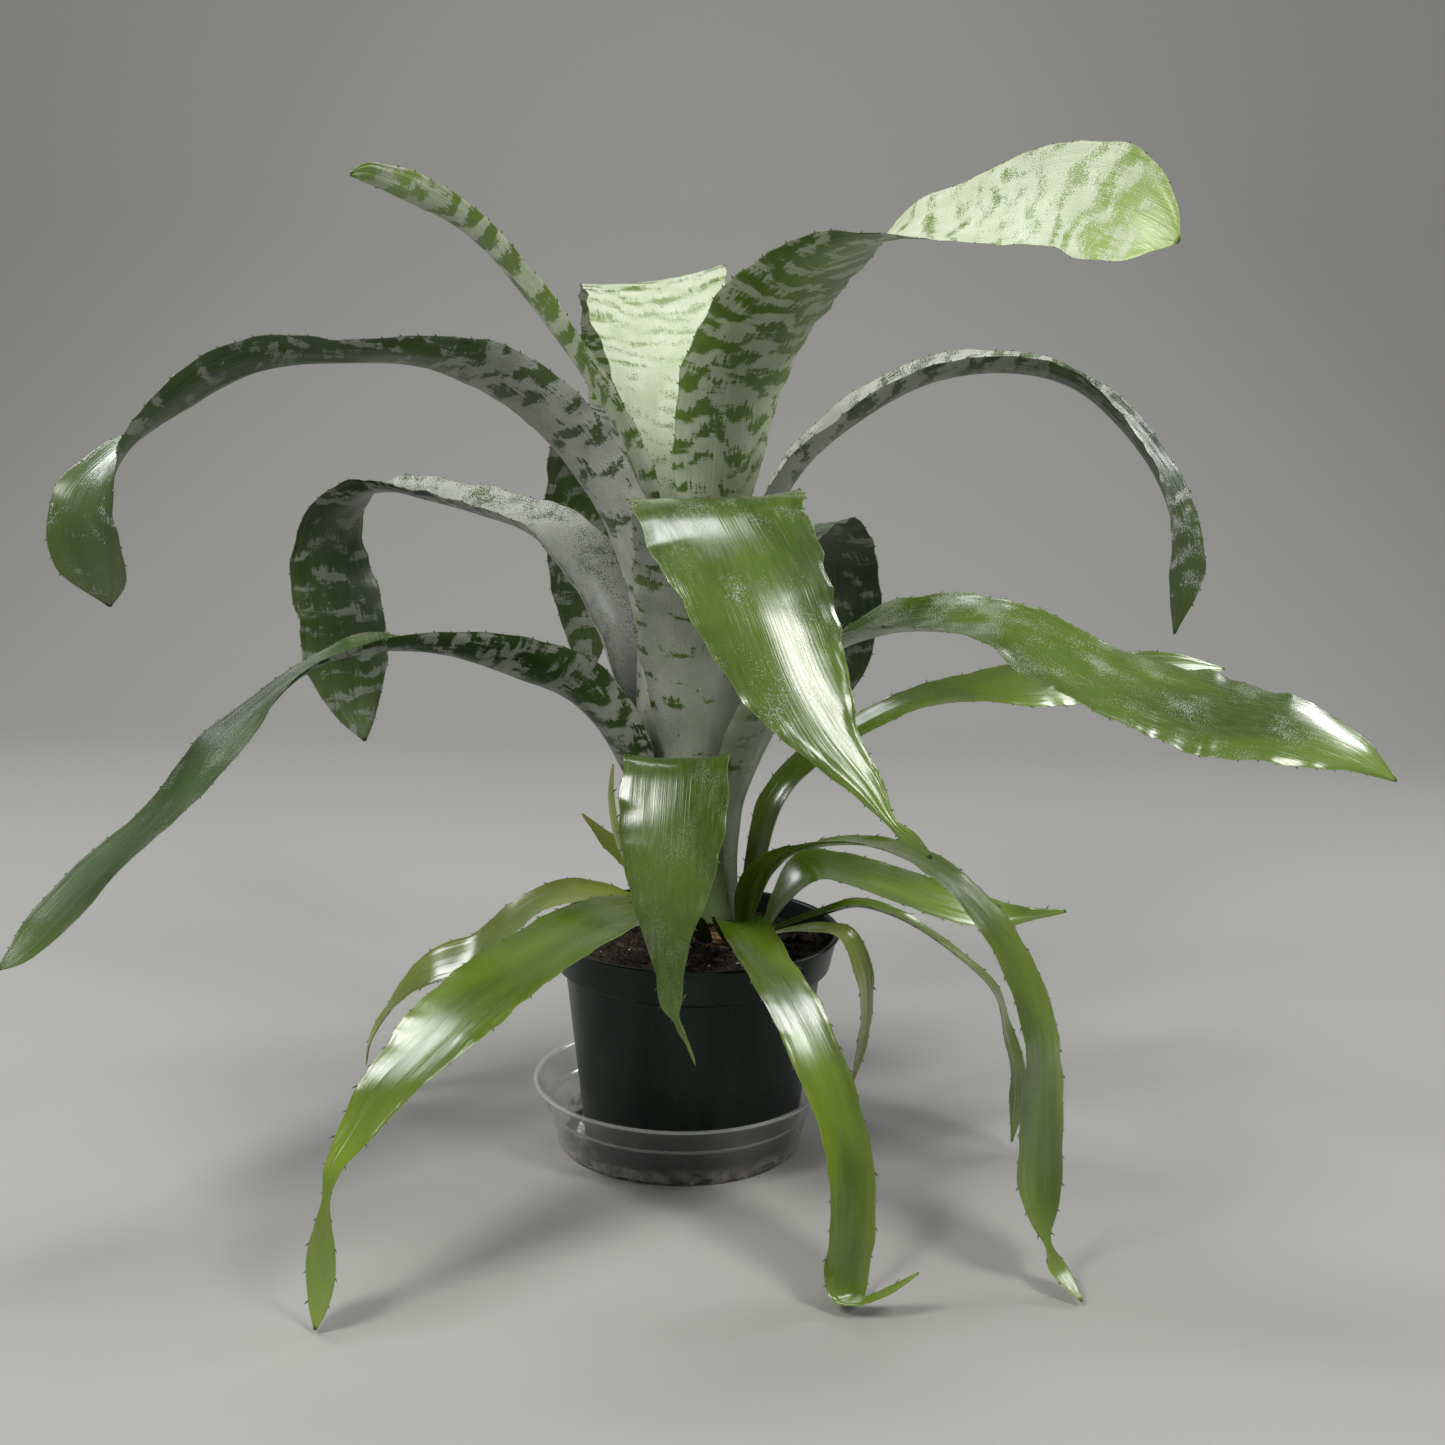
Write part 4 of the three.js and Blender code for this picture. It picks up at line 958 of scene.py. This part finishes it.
saucer_finish, tree = new_finish("clear_sheet")
smear = ramp_between(object_noise(tree, 35, 5, 0.65), 0.5, 0.72)
height = split(out(tree, "ShaderNodeTexCoord", pick="Object"))[2]
low_down = ramp_between(height, 0.012, 0.001)
dirt = low_down * ramp_between(object_noise(tree, 90, 5, 0.7), 0.45, 0.62)
colour = blend_colour(dirt, rgb(0.94, 0.95, 0.94), rgb(0.36, 0.28, 0.18))
# Painted highlight: the lip and the ledge are painted whiter and less clear, for the bright lines those
# edges catch.
near_lip = ramp_between(height, 0.0352, 0.0362)
near_ledge = ramp_between(height, 0.0203, 0.0209) * ramp_between(height, 0.0235, 0.0226)
painted_rim_glint = calc("MAXIMUM", near_lip * 0.26, near_ledge * 0.16)
# Dirt near the floor and the painted rim highlight both make the sheet less clear.
dirt_and_rim_glint = calc("ADD", painted_rim_glint, dirt * 0.6, clamp=True)
surface(tree, colour, calc("MULTIPLY_ADD", smear, 0.14, 0.04),
        Transmission_Weight=calc("MULTIPLY_ADD", dirt_and_rim_glint, -0.97, 0.97), IOR=1.46)
saucer = turned("drip_saucer", saucer_outline, 160, (0, 0, 0), formed_sheet)
saucer.data.materials.append(saucer_finish)
adopt(saucer, "clear_plastic", "saucer")
print("saucer across in mm:", round(saucer.dimensions.x / MM, 1))

# %% [markdown]
# The mix fills the pot to a centimetre below the rim. Its surface is what shows:
# lumps of peat, chips of bark, pale fibres and a few white grains. A solid block is
# turned first, and a tree roughens its top and scatters those pieces over it, each
# kind with its own number, size and fixed seed.

# %% Block of potting mix
MIX_H = SOIL_Z - POT_CENTRE[2]
MIX_TOP_R, MIX_RINGS, MIX_DIP = 76.0, 46, 1.2
mix_outline = [(0, 2.0), (57.8, 2.0), (69.8, 102.5), (74.8, 107.0), (MIX_TOP_R, MIX_H - MIX_DIP)]
for k in range(1, MIX_RINGS):
    share = k / MIX_RINGS
    mix_outline.append((MIX_TOP_R * (1 - share), MIX_H - MIX_DIP - 0.8 * math.sin(math.pi * share)))
mix_outline.append((0, MIX_H))

MIX_INPUTS = {
    "Roughness": 3.4 * MM, "Crumb Density": 95000.0, "Bark Density": 13000.0, "Fibre Density": 16000.0,
    "Grain Density": 900.0, "Floor": 0.110,
    "Crumb": "Material", "Bark": "Material", "Fibre": "Material", "Grain": "Material",
}
STREWN_R = 73.5 * MM
FULL_TURN = 6.28
mix_tree, mix_in = new_tree("potting mix", MIX_INPUTS)


def scattered(ground, top, kind, seed, shape, stretch, small, large):
    """Copies of one small shape over the top, turned at random, of random size."""
    tree = ground.tree
    points = out(tree, "GeometryNodeDistributePointsOnFaces", {
        "Mesh": ground, "Selection": top, "Density": mix_in[kind + " Density"], "Seed": seed})
    turn = put(tree, "FunctionNodeRandomValue", data_type="FLOAT_VECTOR")
    tilt = 0.5 if shape is thread else FULL_TURN
    turn.inputs[1].default_value = (tilt, tilt, FULL_TURN)
    turn.inputs["Seed"].default_value = seed + 1
    size = random_size(tree, small, large, seed + 2)
    shape = out(tree, "GeometryNodeTransform", {"Geometry": shape, "Scale": stretch})
    shape = painted(shape, mix_in[kind])
    return out(tree, "GeometryNodeInstanceOnPoints", {
        "Points": points, "Instance": shape, "Rotation": turn.outputs[0], "Scale": size})


spot = out(mix_tree, "GeometryNodeInputPosition")
sx, sy, sz = split(spot)
on_top = calc("GREATER_THAN", sz, mix_in["Floor"])
lumps = out(mix_tree, "ShaderNodeTexNoise", {"Vector": spot, "Scale": 120.0, "Detail": 4.0})
raised = joined(0, 0, (lumps - 0.55) * mix_in["Roughness"])
ground = out(mix_tree, "GeometryNodeSetPosition", {
    "Geometry": mix_in["Geometry"], "Selection": on_top, "Offset": raised})
from_middle = joined(sx - POT_CENTRE[0] * MM, sy, 0)
inside = calc("LESS_THAN", steer("LENGTH", from_middle), STREWN_R)
facing = split(out(mix_tree, "GeometryNodeInputNormal"))[2]
inside = inside * calc("GREATER_THAN", facing, 0.4)
lump = out(mix_tree, "GeometryNodeMeshIcoSphere", {"Radius": 1 * MM, "Subdivisions": 1}, pick="Mesh")
thread_path = out(mix_tree, "GeometryNodeCurveQuadraticBezier", {
    "Resolution": 5, "Start": (-9 * MM, 0, 0), "Middle": (0, 4 * MM, 5 * MM), "End": (9 * MM, 1 * MM, 0)})
thread_section = out(mix_tree, "GeometryNodeCurvePrimitiveCircle", {"Resolution": 3, "Radius": 0.22 * MM})
thread = out(mix_tree, "GeometryNodeCurveToMesh", {
    "Curve": thread_path, "Profile Curve": thread_section, "Fill Caps": True})
STREWN = (
    ("Crumb", 5, lump, (1, 0.8, 0.7), 0.5, 1.7), ("Bark", 15, lump, (2.6, 1.3, 0.7), 0.7, 2.0),
    ("Fibre", 25, thread, (1, 1, 0.1), 0.3, 1.0), ("Grain", 35, lump, (1.3, 1.1, 1), 0.6, 1.3))
layers = [scattered(ground, inside, *row) for row in STREWN]
close_tree(mix_tree, gathered(mix_tree, *layers, painted(ground, mix_in["Crumb"])))
print("mix tree:", len(mix_tree.nodes), "nodes")

# %% [markdown]
# Damp peat is almost black with warm brown grains. Bark is redder and varies from
# chip to chip, fibres are straw-coloured and the white grains are dusty.

# %% Finishes of the mix
def earthy(name, dark, light, scale, rough, depth):
    finish, tree = new_finish(name)
    tone = ramp_between(object_noise(tree, scale, 3, 0.6), 0.35, 0.65)
    fine = object_noise(tree, scale * 6, 3, 0.65)
    colour = blend_colour(tone, dark, light)
    colour = blend_colour(fine * 0.5, colour, dark)
    surface(tree, colour, calc("MULTIPLY_ADD", fine, 0.2, rough), Normal=bumped(0.7, depth, fine))
    return finish


mix_finish = earthy("damp_peat", rgb(0.009, 0.006, 0.004), rgb(0.048, 0.032, 0.020), 220, 0.7, 0.5 * MM)
bark_finish = earthy("bark", rgb(0.025, 0.014, 0.008), rgb(0.15, 0.09, 0.05), 160, 0.6, 0.4 * MM)
fibre_finish = earthy("coir_fibre", rgb(0.16, 0.10, 0.05), rgb(0.42, 0.30, 0.16), 200, 0.6, 0.1 * MM)
grain_finish = earthy("perlite", rgb(0.45, 0.43, 0.38), rgb(0.75, 0.73, 0.68), 400, 0.8, 0.2 * MM)
mix = grow(turned("mix_blank", mix_outline, 120, POT_CENTRE), mix_tree, {
    "Crumb": mix_finish, "Bark": bark_finish, "Fibre": fibre_finish, "Grain": grain_finish},
    "peat_and_bark")
adopt(mix, "soil", "potting_mix")
print("mix faces:", len(mix.data.polygons))

# %% [markdown]
# The stem is short and woody. Where old leaves have come away it keeps ring-shaped
# scars, which stand a little proud, and its skin is ribbed lengthwise with fibres.

# %% Stem
def scarred(r, z, a):
    rings = 0.35 * max(0, math.sin(z * 2.2)) + 0.25 * math.sin(9 * a + z) + 0.15 * math.sin(23 * a)
    return (r + rings if r > 3 else r), z


stem_outline = [(0, -6), (6, -6), (9.5, 0), (10.6, 1.5), (11.2, 4), (10.6, 6.5), (9.5, 8), (7.8, 9.4)]
stem_outline += [(6.0 - 0.2 * k, 11 + 1.5 * k) for k in range(9)] + [(3.0, 24.5), (1.6, 25.6), (0, 26)]
stem_line = [Vector(p) for p in stem_outline]
stem_line = [p.lerp(q, t / 4) for p, q in zip(stem_line, stem_line[1:]) for t in range(4)] + [stem_line[-1]]
stem_finish = earthy("woody_stem", rgb(0.16, 0.09, 0.04), rgb(0.42, 0.30, 0.13), 140, 0.55, 0.4 * MM)
stem = turned("woody_stem", stem_line, 72, (CROWN_X, CROWN_Y, SOIL_Z), scarred)
stem.data.materials.append(stem_finish)
adopt(stem, "stem", "stem")
print("stem faces:", len(stem.data.polygons))

# %% [markdown]
# Floor, light and camera. The plant stands on a plain pale floor that runs up
# behind it. Two soft panels light it from the front, one from above and two weaker
# ones from behind. The camera stands about a metre away at the height of the upper
# leaves and looks slightly down.

# %% Floor
def floor_sheet():
    reach, back, curve, high = 4.0, 1.1, 0.6, 3.0
    path = [(-reach, 0.0)] + [
        (back + curve * math.sin(a), curve - curve * math.cos(a))
        for a in [math.pi / 2 * k / 16 for k in range(17)]] + [(back + curve, high)]
    verts = [(side * reach, y, z) for y, z in path for side in (-1, 1)]
    faces = [(2 * i, 2 * i + 1, 2 * i + 3, 2 * i + 2) for i in range(len(path) - 1)]
    mesh = bpy.data.meshes.new("floor")
    mesh.from_pydata(verts, [], faces)
    mesh.shade_smooth()
    return show("floor", mesh)


floor_finish, tree = new_finish("pale_floor")
surface(tree, rgb(0.35, 0.347, 0.336), 0.85, Specular_IOR_Level=0.2)
floor = floor_sheet()
floor.data.materials.append(floor_finish)

# %% Lights
def soft_light(name, place, aim_height, size, power, colour):
    lamp = bpy.data.lights.new(name, "AREA")
    lamp.shape, lamp.size, lamp.size_y = "RECTANGLE", size[0], size[1]
    lamp.energy, lamp.color = power, colour
    made = show(name, lamp)
    made.location = place
    made.rotation_euler = (Vector((0, 0, aim_height)) - Vector(place)).to_track_quat("-Z", "Y").to_euler()


WARM, COOL = (1.0, 0.985, 0.94), (0.98, 0.985, 1.0)
PANELS = (
    ("left panel", (-0.90, -0.95, 1.45), 0.25, (0.40, 0.55), 18, WARM),
    ("right panel", (0.80, -0.75, 1.45), 0.25, (0.35, 0.50), 12, WARM),
    ("top panel", (-0.1, 0.20, 1.85), 0.3, (0.7, 0.45), 9, COOL),
    ("back left panel", (-1.05, 0.65, 1.05), 0.2, (0.45, 0.35), 6, COOL),
    ("back right panel", (1.05, 0.65, 1.05), 0.2, (0.45, 0.35), 6, COOL))
for panel in PANELS:
    soft_light(*panel)
world = bpy.data.worlds.new("studio")
bpy.context.scene.world = world
world.use_nodes = True
world.node_tree.nodes["Background"].inputs[0].default_value = rgb(0.95, 0.97, 1.0)
world.node_tree.nodes["Background"].inputs[1].default_value = 0.27
bpy.context.scene.view_settings.view_transform = "Standard"

# %% Camera
lens = bpy.data.cameras.new("camera")
lens.sensor_width = 36
lens.lens = 47.8
camera = show("camera", lens)
pitch, roll = math.radians(11.25), math.radians(1.07)
right = Vector((1, 0, 0))
ahead = Vector((0, math.cos(pitch), -math.sin(pitch)))
above = Vector((0, math.sin(pitch), math.cos(pitch)))
level = Matrix((math.cos(roll) * right + math.sin(roll) * above,
                -math.sin(roll) * right + math.cos(roll) * above, -ahead)).transposed()
camera.matrix_world = Matrix.Translation(Vector((20.6, -1037.4, 449.0)) * MM) @ level.to_4x4()
bpy.context.scene.camera = camera
print("camera at", [round(c, 3) for c in camera.location])
